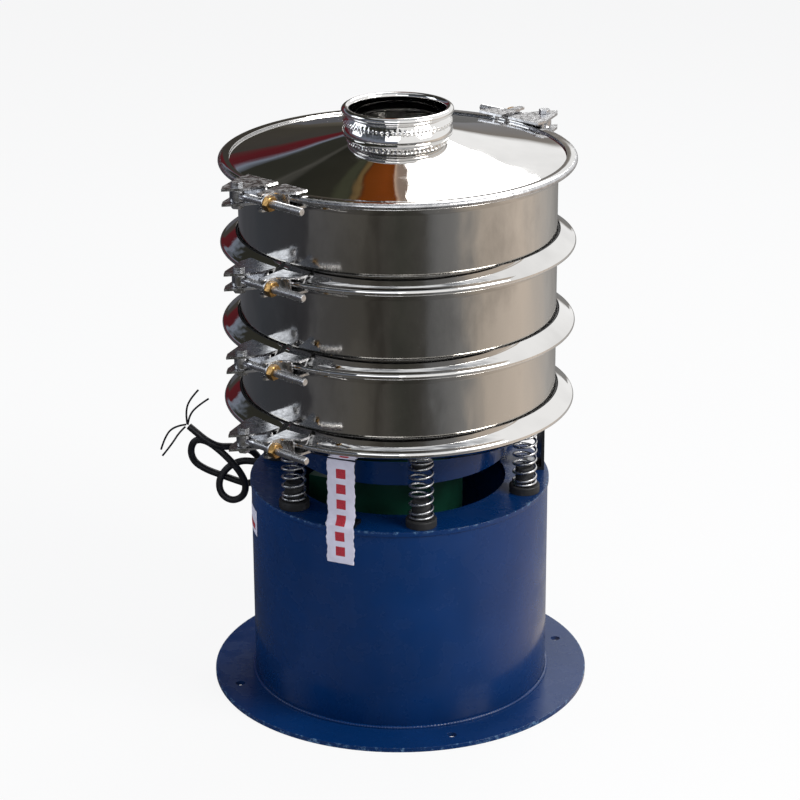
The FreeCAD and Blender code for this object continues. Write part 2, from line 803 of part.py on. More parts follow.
def half_disc(sketch, radius):
    """Half a disc on the +X side, closed along Y."""
    reach = radius.value
    arc = sketch.addGeometry(Part.Arc(Vector(0, -reach, 0), Vector(reach, 0, 0), Vector(0, reach, 0)), False)
    line = sketch.addGeometry(Part.LineSegment(Vector(0, reach, 0), Vector(0, -reach, 0)), False)
    sketch.addConstraint(Sketcher.Constraint("Coincident", arc, 2, line, 1))
    sketch.addConstraint(Sketcher.Constraint("Coincident", line, 2, arc, 1))
    sketch.addConstraint(Sketcher.Constraint("Coincident", arc, 3, -1, 1))
    sketch.addConstraint(Sketcher.Constraint("PointOnObject", arc, 1, -2))
    index = sketch.addConstraint(Sketcher.Constraint("Radius", arc, reach))
    sketch.setExpression(f"Constraints[{index}]", radius.text)
    return sketch


# ---- frames, screens, pan and spouts ----

def make_frame(name, low, high, turn, spout_low):
    """Rolled frame with a flared lip at each end and the opening for its spout."""
    body = turned(name, [
        (INNER_RADIUS, low + lip_inner(INNER_RADIUS)),
        (LIP_TIP, low + lip_inner(LIP_TIP)),
        (LIP_TIP, low + lip_outer(LIP_TIP)),
        (dim.frame_radius, low + dim.lip_rise),
        (dim.frame_radius, high - dim.lip_rise),
        (LIP_TIP, high - lip_outer(LIP_TIP)),
        (LIP_TIP, high - lip_inner(LIP_TIP)),
        (INNER_RADIUS, high - lip_inner(INNER_RADIUS)),
    ])
    half = dim.spout_width / 2 - dim.spout_wall
    top = spout_low + dim.spout_height - dim.spout_wall
    opening = outline(new_sketch(body, "opening", "YZ_Plane"), [
        (-half, spout_low + dim.spout_wall), (half, spout_low + dim.spout_wall), (half, top), (-half, top)])
    cut(body, "spout_opening", opening, dim.frame_radius * 1.1, reverse=True)
    return place(body, azimuth(turn))


def make_spout(name, turn, low):
    """Box chute welded over a frame's opening, with a rim at its mouth."""
    half = dim.spout_width / 2
    wall = dim.spout_wall
    rim = dim.spout_rim
    high = low + dim.spout_height
    mouth = dim.frame_radius + dim.spout_length
    body = new_body(name)
    outer = outline(new_sketch(body, "outer", "YZ_Plane"), [
        (-half, low), (half, low), (half, high), (-half, high)])
    feature(body, "Pad", "chute", outer, mouth)
    edge = outline(new_sketch(body, "rim", "YZ_Plane", mouth - rim), [
        (-half - rim, low - rim), (half + rim, low - rim), (half + rim, high + rim), (-half - rim, high + rim)])
    feature(body, "Pad", "rim_pad", edge, rim)
    inner = outline(new_sketch(body, "inner", "YZ_Plane"), [
        (wall - half, low + wall), (half - wall, low + wall), (half - wall, high - wall), (wall - half, high - wall)])
    cut(body, "duct", inner, mouth + 1, reverse=True)
    shell = circle(new_sketch(body, "frame_seat", "XY_Plane", low - rim), (0, 0), dim.frame_radius)
    cut(body, "frame_curve", shell, dim.spout_height + 2 * rim, reverse=True)
    return place(body, azimuth(turn))


def make_screen(name, level):
    """A flat ring with wire cloth stretched over it: two solids of one screen."""
    outer = LIP_TIP - dim.screen_ring_inset
    inner = outer - dim.screen_ring_width
    half = dim.screen_ring_half
    ring = turned_ring(f"{name}_ring", inner, outer, level - half, level + half)
    mesh = turned_ring(f"{name}_mesh", 0, inner, level - dim.screen_mesh / 2, level + dim.screen_mesh / 2)
    return grouped(name, [ring, mesh])


def make_bottom_pan():
    """Shallow cone, high in the middle, welded inside the bottom frame."""
    rim = INNER_RADIUS - dim.screen_fit
    low = LOWER_CLAMP + dim.lip_rise + dim.pan_height
    return turned("bottom_pan", [
        (0, low + dim.pan_rise), (rim, low), (rim, low + dim.pan_wall), (0, low + dim.pan_rise + dim.pan_wall)])


def gasket_half(radius_in, radius_out, slot):
    """Upper half of the section that wraps a lip, about the clamp's middle plane."""
    return [
        (radius_out, gasket_outer(radius_out)), (radius_in, gasket_outer(radius_in)),
        (radius_in, lip_outer(radius_in)), (slot, lip_outer(slot)),
    ]


def make_gaskets():
    """Rubber rings round the lips: three hold a screen or the table joint, one seals the lid."""
    inside = dim.frame_radius + 1
    outside = LIP_TIP + dim.clamp_standoff
    slot = LIP_TIP + dim.screen_fit
    wedge = INNER_RADIUS + dim.clamp_standoff
    ring = LIP_TIP - dim.screen_ring_inset + dim.screen_fit
    half = dim.screen_ring_half
    rings = []
    for name, level in (("lower", LOWER_CLAMP), ("middle", MIDDLE_CLAMP), ("upper", UPPER_CLAMP)):
        upper = gasket_half(inside, outside, slot)
        upper += [(slot, lip_inner(slot)), (wedge, lip_inner(wedge)), (wedge, half), (ring, half)]
        points = [(r, level + z) for r, z in upper] + [(r, level - z) for r, z in reversed(upper)]
        rings.append(turned(f"{name}_gasket", points))
    seat = dim.lid_seat
    under = gasket_half(inside, outside, slot)
    under += [(slot, lip_inner(slot)), (wedge, lip_inner(wedge))]
    points = [(outside, LID_CLAMP + seat)] + [(r, LID_CLAMP - z) for r, z in under] + [(wedge, LID_CLAMP + seat)]
    rings.append(turned("lid_gasket", points))
    return grouped("gaskets", rings)


# ---- lid ----

LID_EDGE = LIP_TIP + dim.clamp_standoff - 1
CONE_FOOT = LIP_TIP + dim.clamp_standoff - dim.lid_lip
CONE_LOW = LID_CLAMP + dim.lid_seat + dim.lid_wall
CONE_TOP = CONE_LOW + dim.lid_rise


def make_lid():
    """Straight cone with a flat lip under the lid clamp and an opening for the inlet."""
    return turned("lid", [
        (LID_EDGE, CONE_LOW - dim.lid_wall),
        (LID_EDGE, CONE_LOW),
        (CONE_FOOT, CONE_LOW),
        (dim.inlet_radius, CONE_TOP),
        (dim.inlet_radius, CONE_TOP - dim.lid_wall),
        (CONE_FOOT, CONE_LOW - dim.lid_wall),
    ])


def make_inlet_collar():
    """Inlet neck: flared foot on the cone, weld bulge, step and rolled bead."""
    inlet = dim.inlet_radius
    bead = dim.inlet_bead
    top = CONE_TOP + dim.inlet_height
    foot = inlet + dim.inlet_foot
    fall = dim.inlet_foot * dim.lid_rise / (CONE_FOOT - inlet)
    points = [
        (inlet, CONE_TOP),
        (foot, CONE_TOP - fall),
        (foot, CONE_TOP - fall + dim.lid_wall),
        (inlet + 7, CONE_TOP + 6),
        (inlet + 6, CONE_TOP + 8.5),
        (inlet + 8, CONE_TOP + 11),
        (inlet + 8, CONE_TOP + 13.5),
        (inlet + 6, CONE_TOP + 16),
        (inlet + 5, CONE_TOP + 18),
        (inlet + bead, top - 2 * bead),
        (inlet + bead, top),
        (inlet, top - bead),
    ]
    arcs = {9: (inlet + bead, (1, 0)), 10: (inlet + bead, (-1, 1))}
    return turned("inlet_collar", points, arcs)


# ---- clamp rings and swing bolts, each in the frame of its own joint ----

EAR_OUTER = dim.ear_inner + dim.ear_thickness
NOSE_CENTRE = dim.frame_radius + (dim.lip_rise + (dim.gasket_thickness + dim.clamp_clearance
                                                  + dim.clamp_thickness) / SLANT - dim.nose_half) / SLOPE
HOLLOW_END = dim.frame_radius + (dim.lip_rise + (dim.gasket_thickness + dim.clamp_clearance) / SLANT
                                 - (dim.nose_half - dim.clamp_thickness)) / SLOPE
LEG_END = dim.frame_radius + dim.clamp_standoff
BOLT = dim.frame_radius + dim.bolt_reach
PIVOT = dim.pivot_offset


def leg_profile(flat_top):
    """Outer and inner halves of the clamp's section over its middle plane, from the leg's end to the nose."""
    nose = dim.nose_half
    hollow = nose - dim.clamp_thickness
    if flat_top:
        lip = CONE_FOOT + 2
        top = dim.lid_seat + dim.lid_wall + dim.clamp_clearance
        return [(NOSE_CENTRE, top + dim.clamp_thickness), (lip, top + dim.clamp_thickness)], [(lip, top), (NOSE_CENTRE, top)]
    outer = [(NOSE_CENTRE, nose), (LEG_END, leg_outer(LEG_END))]
    inner = [(LEG_END, leg_inner(LEG_END)), (HOLLOW_END, hollow)]
    return outer, inner


def make_clamp_half(name, level, turn, flat_top=False):
    """Half a clamp ring: nut lug at its start, pivot lug at its end, so two equal halves close the ring."""
    body = new_body(name)
    upper_out, upper_in = leg_profile(flat_top)
    lower_out, lower_in = leg_profile(False)
    over = upper_out + upper_in
    under = [(r, -z) for r, z in reversed(lower_out + lower_in)]
    section = outline(new_sketch(body, "section", "YZ_Plane"), over + under,
                      {len(over) + len(under) - 1: (NOSE_CENTRE, (1, 0))})
    sweep = HALF_TURN - 2 * dim.clamp_gap / dim.frame_radius * (HALF_TURN / math.pi)
    ring = feature(body, "Revolution", "ring", section, sweep, symmetric=True)
    pads = []
    for side in (1, -1):
        low = dim.ear_inner if side > 0 else -EAR_OUTER
        label = "top" if side > 0 else "bottom"
        nut_ear = outline(new_sketch(body, f"{label}_nut_ear", "XY_Plane", low), nut_ear_points())
        feature(body, "Pad", f"{label}_nut_pad", nut_ear, dim.ear_thickness)
        pivot_ear = outline(new_sketch(body, f"{label}_pivot_ear", "XY_Plane", low), pivot_ear_points())
        feature(body, "Pad", f"{label}_pivot_pad", pivot_ear, dim.ear_thickness)
    add_lug_backs(body)
    add_cheek(body)
    rise = dim.lid_rise * (CONE_FOOT - dim.frame_radius / 2) / (CONE_FOOT - dim.inlet_radius) if flat_top else 0
    hollow = [(dim.frame_radius / 2, upper_in[0][1] + rise)] + upper_in
    hollow += [(r, -z) for r, z in reversed(lower_in)] + [(dim.frame_radius / 2, -lower_in[0][1])]
    inside = outline(new_sketch(body, "inside", "XZ_Plane"), hollow)
    doc.recompute()
    feature(body, "Groove", "inner_space", inside)
    hole = circle(new_sketch(body, "pivot_hole", "XY_Plane"), (-BOLT, PIVOT), dim.pivot_radius)
    cut(body, "pivot_bore", hole, EAR_OUTER * 2 + 2, symmetric=True)
    return ring_half_placed(body, level, turn)


def ring_half_placed(body, level, turn):
    """The half is drawn symmetric about +Y; the joint line is +X."""
    return place(body, azimuth(turn), level)


def nut_ear_points():
    """Plan of an ear whose straight end carries the washer; it stays inside the washer's swing."""
    seat = dim.nut_seat - PIVOT - dim.nut_gap
    root = LEG_END + 1
    return [
        (root, 5), (BOLT - 18, 7), (BOLT + 6, 9), (BOLT + 8, seat - 5), (BOLT + 6, seat - 1.4),
        (BOLT, seat), (BOLT - 14, seat), (BOLT - 28, seat + 22), (root, seat + 24),
    ]


def pivot_ear_points():
    """Plan of an ear round the pivot, at the half's other end (turned half a turn)."""
    root = LEG_END + 1
    points = [
        (root, -6), (BOLT - 16, -8), (BOLT + 4, 11 - PIVOT), (BOLT + dim.ear_tip, -PIVOT - 4),
        (BOLT + 12, -PIVOT - 12), (BOLT - 28, -PIVOT - 26), (root, -PIVOT - 26),
    ]
    return [(-x, -y) for x, y in points]


def add_lug_backs(body):
    """Upright back plate of each lug, welded along the ring's nose between its two ears."""
    front = NOSE_CENTRE + dim.nose_half - dim.clamp_thickness
    back = front + dim.ear_thickness
    for label, near, far, side in (("nut", 6, 30, 1), ("pivot", -8, -50, -1)):
        points = [(front, near), (back, near), (back, far), (front, far)]
        plan = outline(new_sketch(body, f"{label}_back", "XY_Plane"), [(side * x, side * y) for x, y in points])
        feature(body, "Pad", f"{label}_back_pad", plan, 2 * EAR_OUTER - 1, symmetric=True)


def add_cheek(body):
    """Upright plate between the nut ears, forked so that the rod can swing out of it."""
    seat = dim.nut_seat - PIVOT - dim.nut_gap
    slot = dim.rod_radius + dim.rod_slot_clearance
    horn = dim.ear_inner + 0.5
    start = dim.cheek_thickness - seat
    cheek = outline(new_sketch(body, "cheek", "XZ_Plane", start), [
        (LEG_END + 1, -horn), (BOLT - 1, -horn), (BOLT - 1, -slot), (BOLT - slot, -slot),
        (BOLT - slot, slot), (BOLT - 1, slot), (BOLT - 1, horn), (LEG_END + 1, horn)])
    feature(body, "Pad", "cheek_pad", cheek, dim.cheek_thickness, reverse=True)


def make_swing_bolt(name, level, turn):
    """Eye bolt on the pivot; its rod lies along the tangent and swings outwards."""
    eye = dim.ear_inner - dim.eye_gap
    body = new_body(name)
    ring = circle(new_sketch(body, "eye", "XY_Plane"), (BOLT, -PIVOT), dim.eye_radius)
    feature(body, "Pad", "eye_pad", ring, eye * 2, symmetric=True)
    rod = circle(new_sketch(body, "rod", "XZ_Plane", PIVOT), (BOLT, 0), dim.rod_radius)
    feature(body, "Pad", "rod_pad", rod, dim.rod_length, reverse=True)
    bore = circle(new_sketch(body, "bore", "XY_Plane"), (BOLT, -PIVOT), dim.pivot_radius + dim.pivot_clearance)
    cut(body, "eye_bore", bore, eye * 2 + 1, symmetric=True)
    return place(body, azimuth(turn), level)


def make_clamp_nut(name, level, turn):
    """Steel washer and hexagon nut on the rod, bearing on the nut lug."""
    bore = dim.rod_radius + dim.screen_fit / 4
    seat = PIVOT - dim.nut_seat
    items = []
    for part, start, thick in (("washer", seat, dim.washer_thickness), ("hex", seat - dim.washer_thickness, dim.nut_height)):
        body = new_body(f"{name}_{part}")
        face = new_sketch(body, "face", "XZ_Plane", start)
        if part == "washer":
            circle(face, (BOLT, 0), dim.washer_radius)
        else:
            hexagon(face, (BOLT, 0), dim.nut_flats)
        circle(face, (BOLT, 0), bore)
        feature(body, "Pad", "blank", face, thick, reverse=True)
        items.append(place(body, azimuth(turn), level))
    return grouped(name, items)


def make_pivot_bolts(joints):
    """Hexagon bolt with its nut through each pair of pivot ears."""
    items = []
    for number, (level, turn) in enumerate(joints):
        bolt = new_body(f"pivot_bolt_{number}")
        shank = circle(new_sketch(bolt, "shank", "XY_Plane", -EAR_OUTER - dim.hex_head), (BOLT, -PIVOT), dim.pivot_radius)
        feature(bolt, "Pad", "shank_pad", shank, EAR_OUTER * 2 + dim.hex_head)
        for label, start in (("head", EAR_OUTER), ("nut", -EAR_OUTER - dim.hex_head)):
            hexa = hexagon(new_sketch(bolt, label, "XY_Plane", start), (BOLT, -PIVOT), dim.hex_flats)
            feature(bolt, "Pad", f"{label}_pad", hexa, dim.hex_head)
        items.append(place(bolt, azimuth(turn), level))
    return grouped("pivot_bolts", items)


# ---- supply cable ----

def tube(points, radius):
    """A round tube along straight runs joined by tangent arcs, and the radii of the arcs."""
    spots = [Vector(x, y, GLAND_LEVEL.value + z) for x, y, z in points]
    edges = []
    radii = []
    reached = spots[0]
    for before, corner, after in zip(spots, spots[1:], spots[2:]):
        inward = (corner - before).normalize()
        outward = (after - corner).normalize()
        turn = inward.getAngle(outward)
        reach = 0.45 * min((corner - before).Length, (after - corner).Length)
        radii.append(reach / math.tan(turn / 2))
        start = corner - inward * reach
        stop = corner + outward * reach
        bisector = (outward - inward).normalize()
        depth = radii[-1] / math.cos(turn / 2) - radii[-1]
        edges.append(Part.LineSegment(reached, start).toShape())
        edges.append(Part.Arc(start, corner + bisector * depth, stop).toShape())
        reached = stop
    edges.append(Part.LineSegment(reached, spots[-1]).toShape())
    path = Part.Wire(edges)
    section = Part.Wire(Part.Circle(spots[0], spots[1] - spots[0], radius).toShape())
    solid = path.makePipeShell([section], True, False)
    wanted = math.pi * radius ** 2 * path.Length
    if abs(solid.Volume - wanted) > 0.01 * wanted:
        raise RuntimeError("a cable tube's volume is wrong")
    return solid, radii


def make_cable_lead():
    item = doc.addObject("Part::Feature", "cable_lead")
    item.Label = "cable_lead"
    item.Shape, radii = tube(CABLE_LEAD, dim.cable_radius.value)
    print("cable_lead radii", [round(radius, 1) for radius in radii])
    return item


def make_cable_cores():
    solids = []
    for route in CABLE_CORES:
        solid, radii = tube(route, CORE_RADIUS)
        solids.append(solid)
        print("cable_cores radii", [round(radius, 1) for radius in radii])
    item = doc.addObject("Part::Feature", "cable_cores")
    item.Label = "cable_cores"
    item.Shape = Part.makeCompound(solids)
    return item


def make_cable_hank():
    """The outer shape of the loose hank, open inside its large loop."""
    body = new_body("cable_hank")
    plan = outline(new_sketch(body, "plan", "XZ_Plane"), HANK_OUTLINE)
    feature(body, "Pad", "hank_pad", plan, HANK_HALF * 2, symmetric=True)
    hole = outline(new_sketch(body, "loop", "XZ_Plane"), HANK_HOLE)
    cut(body, "loop_opening", hole, HANK_HALF * 3, symmetric=True)
    body.Placement = Placement(Vector(0, HANK_Y, GLAND_LEVEL.value), Rotation())
    body.setExpression("Placement.Base.z", GLAND_LEVEL.text)
    return body


# ---- assembly ----

LEFT_TURN = dim.joint_azimuth
RIGHT_TURN = dim.joint_azimuth + 180
CLAMPS = {"lid": LID_CLAMP, "upper": UPPER_CLAMP, "middle": MIDDLE_CLAMP, "lower": LOWER_CLAMP}

spouts = {
    "top": (dim.top_spout_azimuth, UPPER_CLAMP + dim.lip_rise + dim.spout_rise),
    "middle": (dim.middle_spout_azimuth, MIDDLE_CLAMP + dim.lip_rise + dim.spout_rise),
    "bottom": (dim.bottom_spout_azimuth, LOWER_CLAMP + dim.lip_rise + dim.spout_rise),
}
levels = {
    "top": (UPPER_CLAMP, LID_CLAMP),
    "middle": (MIDDLE_CLAMP, UPPER_CLAMP),
    "bottom": (LOWER_CLAMP, MIDDLE_CLAMP),
}

parts = [
    make_floor_flange(), make_base_drum(), make_spring_ring(), make_cable_gland(), make_spring_feet(),
    make_springs(), make_transit_brackets(), make_bracket_bolts(), make_notice_strip(),
    make_spring_caps(), make_vibrating_table(), make_transit_bolts(), make_motor_casing(), make_motor_bolts(),
    make_motor_shields(), make_motor_bearings(), make_terminal_box(), make_rotor_shaft(),
]
for name, low in (("upper_weight", MOTOR_TOP + dim.shield_height + dim.weight_gap),
                  ("lower_weight", MOTOR_FOOT - dim.shield_height - dim.weight_gap - dim.weight_thickness)):
    parts.append(eccentric(name, low))
for name, (low, high) in levels.items():
    turn, spout_low = spouts[name]
    parts.append(make_frame(f"{name}_frame", low, high, turn, spout_low))
    parts.append(make_spout(f"{name}_spout", turn, spout_low))
parts += [
    make_screen("upper_screen", UPPER_CLAMP), make_screen("lower_screen", MIDDLE_CLAMP), make_bottom_pan(),
    make_gaskets(), make_lid(), make_inlet_collar(),
]
for name, level in CLAMPS.items():
    parts.append(make_clamp_half(f"{name}_clamp_front", level, LEFT_TURN, name == "lid"))
    parts.append(make_clamp_half(f"{name}_clamp_rear", level, RIGHT_TURN, name == "lid"))
    for side, turn in (("left", LEFT_TURN), ("right", RIGHT_TURN)):
        parts.append(make_swing_bolt(f"{name}_swing_bolt_{side}", level, turn))
        parts.append(make_clamp_nut(f"{name}_nut_{side}", level, turn))
parts.append(make_pivot_bolts([(level, turn) for level in CLAMPS.values() for turn in (LEFT_TURN, RIGHT_TURN)]))
parts += [make_cable_lead(), make_cable_hank(), make_cable_cores()]

doc.recompute()
for item in doc.Objects:
    if "Invalid" in item.State or "Error" in item.State:
        raise RuntimeError(f"{item.Label} failed: {item.State}")
os.makedirs("parts", exist_ok=True)
for item in parts:
    if item.Shape.isNull() or not item.Shape.isValid():
        raise RuntimeError(f"{item.Label} has no valid shape")
    item.Shape.exportStep(f"parts/{item.Label}.step")
print(len(parts), "nodes")
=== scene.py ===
"""Dresses the round vibrating sieve: steel, paint, springs, weld beads, threads, paper strip and cable.

Metres, in the frame's own axes: the origin is the centre of the floor flange's underside, +Z is up and
-Y is the front. Azimuths are degrees from the front (-Y) towards +X.
"""
import json
import math
import bmesh
import bpy
import numpy as np
from mathutils import Matrix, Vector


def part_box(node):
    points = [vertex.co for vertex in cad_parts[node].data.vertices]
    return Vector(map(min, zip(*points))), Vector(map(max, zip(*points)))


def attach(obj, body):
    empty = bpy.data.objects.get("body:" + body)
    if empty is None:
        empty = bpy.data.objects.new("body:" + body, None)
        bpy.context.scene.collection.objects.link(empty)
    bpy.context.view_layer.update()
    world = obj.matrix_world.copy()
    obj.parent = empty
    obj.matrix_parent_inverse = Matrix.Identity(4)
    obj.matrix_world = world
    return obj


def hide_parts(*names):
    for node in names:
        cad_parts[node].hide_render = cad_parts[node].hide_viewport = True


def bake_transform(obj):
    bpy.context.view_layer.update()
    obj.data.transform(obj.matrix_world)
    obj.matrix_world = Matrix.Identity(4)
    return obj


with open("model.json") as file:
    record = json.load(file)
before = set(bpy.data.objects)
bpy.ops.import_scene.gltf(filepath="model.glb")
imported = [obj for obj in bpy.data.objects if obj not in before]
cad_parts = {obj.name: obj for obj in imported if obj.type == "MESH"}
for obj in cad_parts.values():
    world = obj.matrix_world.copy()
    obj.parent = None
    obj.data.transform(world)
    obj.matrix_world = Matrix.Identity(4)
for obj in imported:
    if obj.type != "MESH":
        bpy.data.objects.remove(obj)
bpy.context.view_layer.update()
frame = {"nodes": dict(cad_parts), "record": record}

bl_info = {
    "name": "Vibrating Sieve Dressing",
    "version": (1, 0, 0),
    "blender": (4, 5, 0),
    "location": "View3D > Sidebar > Sieve",
    "description": "Finishes and fine shapes for a round vibrating sieve on its CAD frame",
    "category": "Object",
}

MM = 0.001
BODY_OF = {node: body for body, nodes in frame["record"]["behaviour"]["bodies"].items() for node in nodes}
SLOT_OF = {part["node"]: part["material_slot"] for part in frame["record"]["subparts"]}
JOINT_AT = {joint["name"]: joint["pos_m"]
            for joint in frame["record"]["behaviour"]["joints"] if "pos_m" in joint}
CLAMPS = ("lower", "middle", "upper", "lid")
LEVEL = {name: JOINT_AT[f"{name}_swing_left"][2] for name in CLAMPS}
DECK = "vibrating_body"


# ---- sizes and colours that a user may change ----

def length(name, default, description):
    return bpy.props.FloatProperty(
        name=name, default=default, description=description, unit="LENGTH", min=0.0, precision=5)


def angle(name, degrees, description):
    return bpy.props.FloatProperty(
        name=name, default=math.radians(degrees), description=description, unit="ROTATION")


def number(name, default, description, low=0.0):
    return bpy.props.FloatProperty(name=name, default=default, description=description, min=low)


def whole(name, default, description):
    return bpy.props.IntProperty(name=name, default=default, description=description, min=3)


def colour(name, default, description):
    return bpy.props.FloatVectorProperty(
        name=name, default=default, description=description, subtype="COLOR", size=3, min=0.0, max=1.0)


class BaseSizes(bpy.types.PropertyGroup):
    """Drum, springs and what is pasted on them."""
    flange_radius: length("Flange radius", 0.246, "Outside of the floor flange")
    drum_radius: length("Drum radius", 0.1925, "Outside of the rolled drum")
    drum_wall: length("Drum wall", 0.004, "Thickness of the rolled drum")
    drum_foot: length("Drum foot", 0.006, "Top of the floor flange")
    drum_top: length("Drum top", 0.271, "Underside of the spring ring")
    ring_top: length("Ring top", 0.277, "Top of the spring ring")
    ring_radius: length("Ring radius", 0.194, "Outside of the spring ring")
    weld: length("Foot weld", 0.0042, "Leg of the weld between drum and flange")
    spring_count: whole("Springs", 6, "Springs round the ring")
    spring_azimuth: angle("Spring azimuth", 9, "Azimuth of the first spring")
    spring_circle: length("Spring circle", 0.171, "Radius on which the springs stand")
    spring_radius: length("Spring radius", 0.016, "Outside of the coils")
    spring_wire: length("Spring wire", 0.0034, "Diameter of the wire")
    spring_foot: length("Spring foot", 0.287, "Height of the lowest coil's underside")
    spring_top: length("Spring top", 0.367, "Height of the highest coil's top")
    spring_turns: number("Turns", 7.9, "Turns of each spring, closed ends included")
    strip_azimuth: angle("Strip azimuth", -22.5, "Azimuth of the paper strip")
    strip_width: length("Strip width", 0.037, "Width of the paper strip")
    strip_face: length("Strip face", 0.1886, "Distance of the strip from the axis on its bracket")
    strip_top: length("Strip top", 0.3666, "Upper end of the strip")
    strip_foot: length("Strip foot", 0.2295, "Lower end of the strip")
    label_azimuth: angle("Label azimuth", -79, "Azimuth of the small label")
    label_width: length("Label width", 0.046, "Width of the small label")
    label_low: length("Label foot", 0.213, "Lower edge of the small label")
    label_high: length("Label top", 0.248, "Upper edge of the small label")


class StackSizes(bpy.types.PropertyGroup):
    """Frames, lid, inlet and clamp rings."""
    frame_radius: length("Frame radius", 0.2, "Outside of the rolled frames")
    frame_wall: length("Frame wall", 0.0015, "Sheet thickness of frames and lid")
    lip_rise: length("Lip rise", 0.0133, "Height of a flared lip's root over its clamp's middle")
    lip_reach: length("Lip reach", 0.013, "How far a lip flares out")
    lip_angle: angle("Lip angle", 35, "Slope of the flared lips")
    gasket: length("Gasket", 0.0016, "Rubber and play between a lip and its clamp")
    clamp_sheet: length("Clamp sheet", 0.002, "Sheet thickness of a clamp ring")
    clamp_standoff: length("Clamp standoff", 0.004, "Gap between a frame's wall and a clamp's edge")
    clamp_gap: length("Clamp gap", 0.004, "Half the gap between two clamp halves")
    nose_half: length("Nose", 0.004, "Half height of a clamp's rounded nose")
    plating: length("Polished skin", 0.0003, "How far the polished skins stand off the solids")
    joint_azimuth: angle("Joint azimuth", -42.5, "Azimuth of the first joint of each clamp")
    spout_half: length("Spout half width", 0.0405, "Half width of a spout's opening")
    lid_edge: length("Lid edge", 0.216, "Rim of the lid")
    cone_foot: length("Cone foot", 0.21, "Radius at which the lid's cone starts")
    lid_seat: length("Lid seat", 0.0009, "Height of the lid's underside over its clamp's middle")
    lid_rise: length("Lid rise", 0.0325, "Rise of the lid's cone")
    inlet_radius: length("Inlet radius", 0.06, "Bore of the inlet")
    inlet_height: length("Inlet height", 0.0308, "Height of the inlet over the cone")
    inlet_bead: length("Inlet bead", 0.005, "Radius of the rolled bead")
    inlet_foot: length("Inlet foot", 0.009, "Width of the inlet's foot on the cone")


class BoltSizes(bpy.types.PropertyGroup):
    """Swing bolts and their nuts."""
    bolt_line: length("Bolt line", 0.25, "Distance of a bolt's line from the sieve's axis")
    pivot_offset: length("Pivot offset", 0.03, "Distance of the pivot behind the clamp's joint")
    pivot_radius: length("Pivot radius", 0.00408, "Bore of the eye")
    eye_radius: length("Eye radius", 0.009, "Outside of the eye")
    eye_half: length("Eye half height", 0.0075, "Half height of the eye")
    rod_radius: length("Rod radius", 0.005, "Outside of the thread")
    rod_length: length("Rod length", 0.108, "Pivot to the rod's end")
    thread_pitch: length("Thread pitch", 0.0015, "Rise of the thread in one turn")
    thread_depth: length("Thread depth", 0.0004, "Depth of the thread that shows")
    nut_seat: length("Nut seat", 0.0194, "Washer's face past the clamp's joint")
    washer: length("Washer", 0.002, "Thickness of the washer")
    washer_radius: length("Washer radius", 0.01, "Outside of the washer")
    nut_flats: length("Nut flats", 0.017, "Nut across its flats")
    nut_height: length("Nut height", 0.008, "Height of the nut")


class CableSizes(bpy.types.PropertyGroup):
    """Supply cable and its bare cores."""
    cable: length("Cable", 0.0095, "Diameter of the sheath")
    cable_length: length("Cable length", 0.51, "Length of the sheath from the gland")
    core: length("Core", 0.0026, "Diameter of each core")


class Colours(bpy.types.PropertyGroup):
    """Colours of the finishes, linear."""
    steel: colour("Polished steel", (0.80, 0.79, 0.775), "Mirror-polished lid and clamps")
    frame_steel: colour("Frame steel", (0.66, 0.645, 0.62), "Rolled frames")
    cast_steel: colour("Bolt steel", (0.60, 0.60, 0.61), "Swing bolts and lugs")
    brass: colour("Brass", (0.38, 0.225, 0.08), "Clamp nuts")
    zinc: colour("Zinc", (0.60, 0.61, 0.63), "Springs and small bolts")
    blue: colour("Blue paint", (0.0010, 0.026, 0.115), "Base and table")
    black: colour("Black paint", (0.006, 0.007, 0.009), "Transit brackets")
    green: colour("Motor green", (0.006, 0.06, 0.035), "Motor")
    rubber: colour("Rubber", (0.012, 0.012, 0.013), "Spring seats and gaskets")
    cable: colour("Cable black", (0.010, 0.010, 0.012), "Cable and cores")
    paper: colour("Paper", (0.74, 0.72, 0.84), "Pasted strip and label")
    red: colour("Print red", (0.55, 0.02, 0.04), "Plain marks on the paper")


class StageSettings(bpy.types.PropertyGroup):
    """Camera, lamps and floor."""
    look_height: length("Look height", 0.3783, "Height of the point that the camera looks at")
    distance: length("Distance", 3.4455, "Camera to that point")
    elevation: angle("Elevation", 20.948, "Camera over the horizon")
    roll: angle("Roll", 0.3083, "Clockwise tilt of the camera")
    focal: number("Focal length", 120.49, "In millimetres on a 36 mm sensor")
    shift: bpy.props.FloatProperty(name="Shift", default=0.0012, description="Sideways shift of the lens")
    floor_size: length("Floor", 40.0, "Side of the floor")


# ---- surfaces worked out as whole arrays ----

def grid_faces(rows, columns, wrap_rows=False, wrap_columns=False):
    """Quads between each point of a grid and its next neighbours; wrapping joins the last to the first."""
    i = np.arange(rows if wrap_rows else rows - 1)[:, None]
    j = np.arange(columns if wrap_columns else columns - 1)[None, :]
    after_i, after_j = (i + 1) % rows, (j + 1) % columns
    corners = np.broadcast_arrays(
        i * columns + j, i * columns + after_j, after_i * columns + after_j, after_i * columns + j)
    return np.stack(corners, -1).reshape(-1, 4).tolist()


def outward(points, faces):
    """Turns all faces over if the enclosed volume, a sum of corner products, comes out negative."""
    quads = [face for face in faces if len(face) == 4]
    corners = points[np.array(quads)]
    volume = np.einsum("ij,ij->", np.cross(corners[:, 0], corners[:, 1]), corners[:, 2])
    volume += np.einsum("ij,ij->", np.cross(corners[:, 0], corners[:, 2]), corners[:, 3])
    return [face[::-1] for face in faces] if volume < 0 else faces


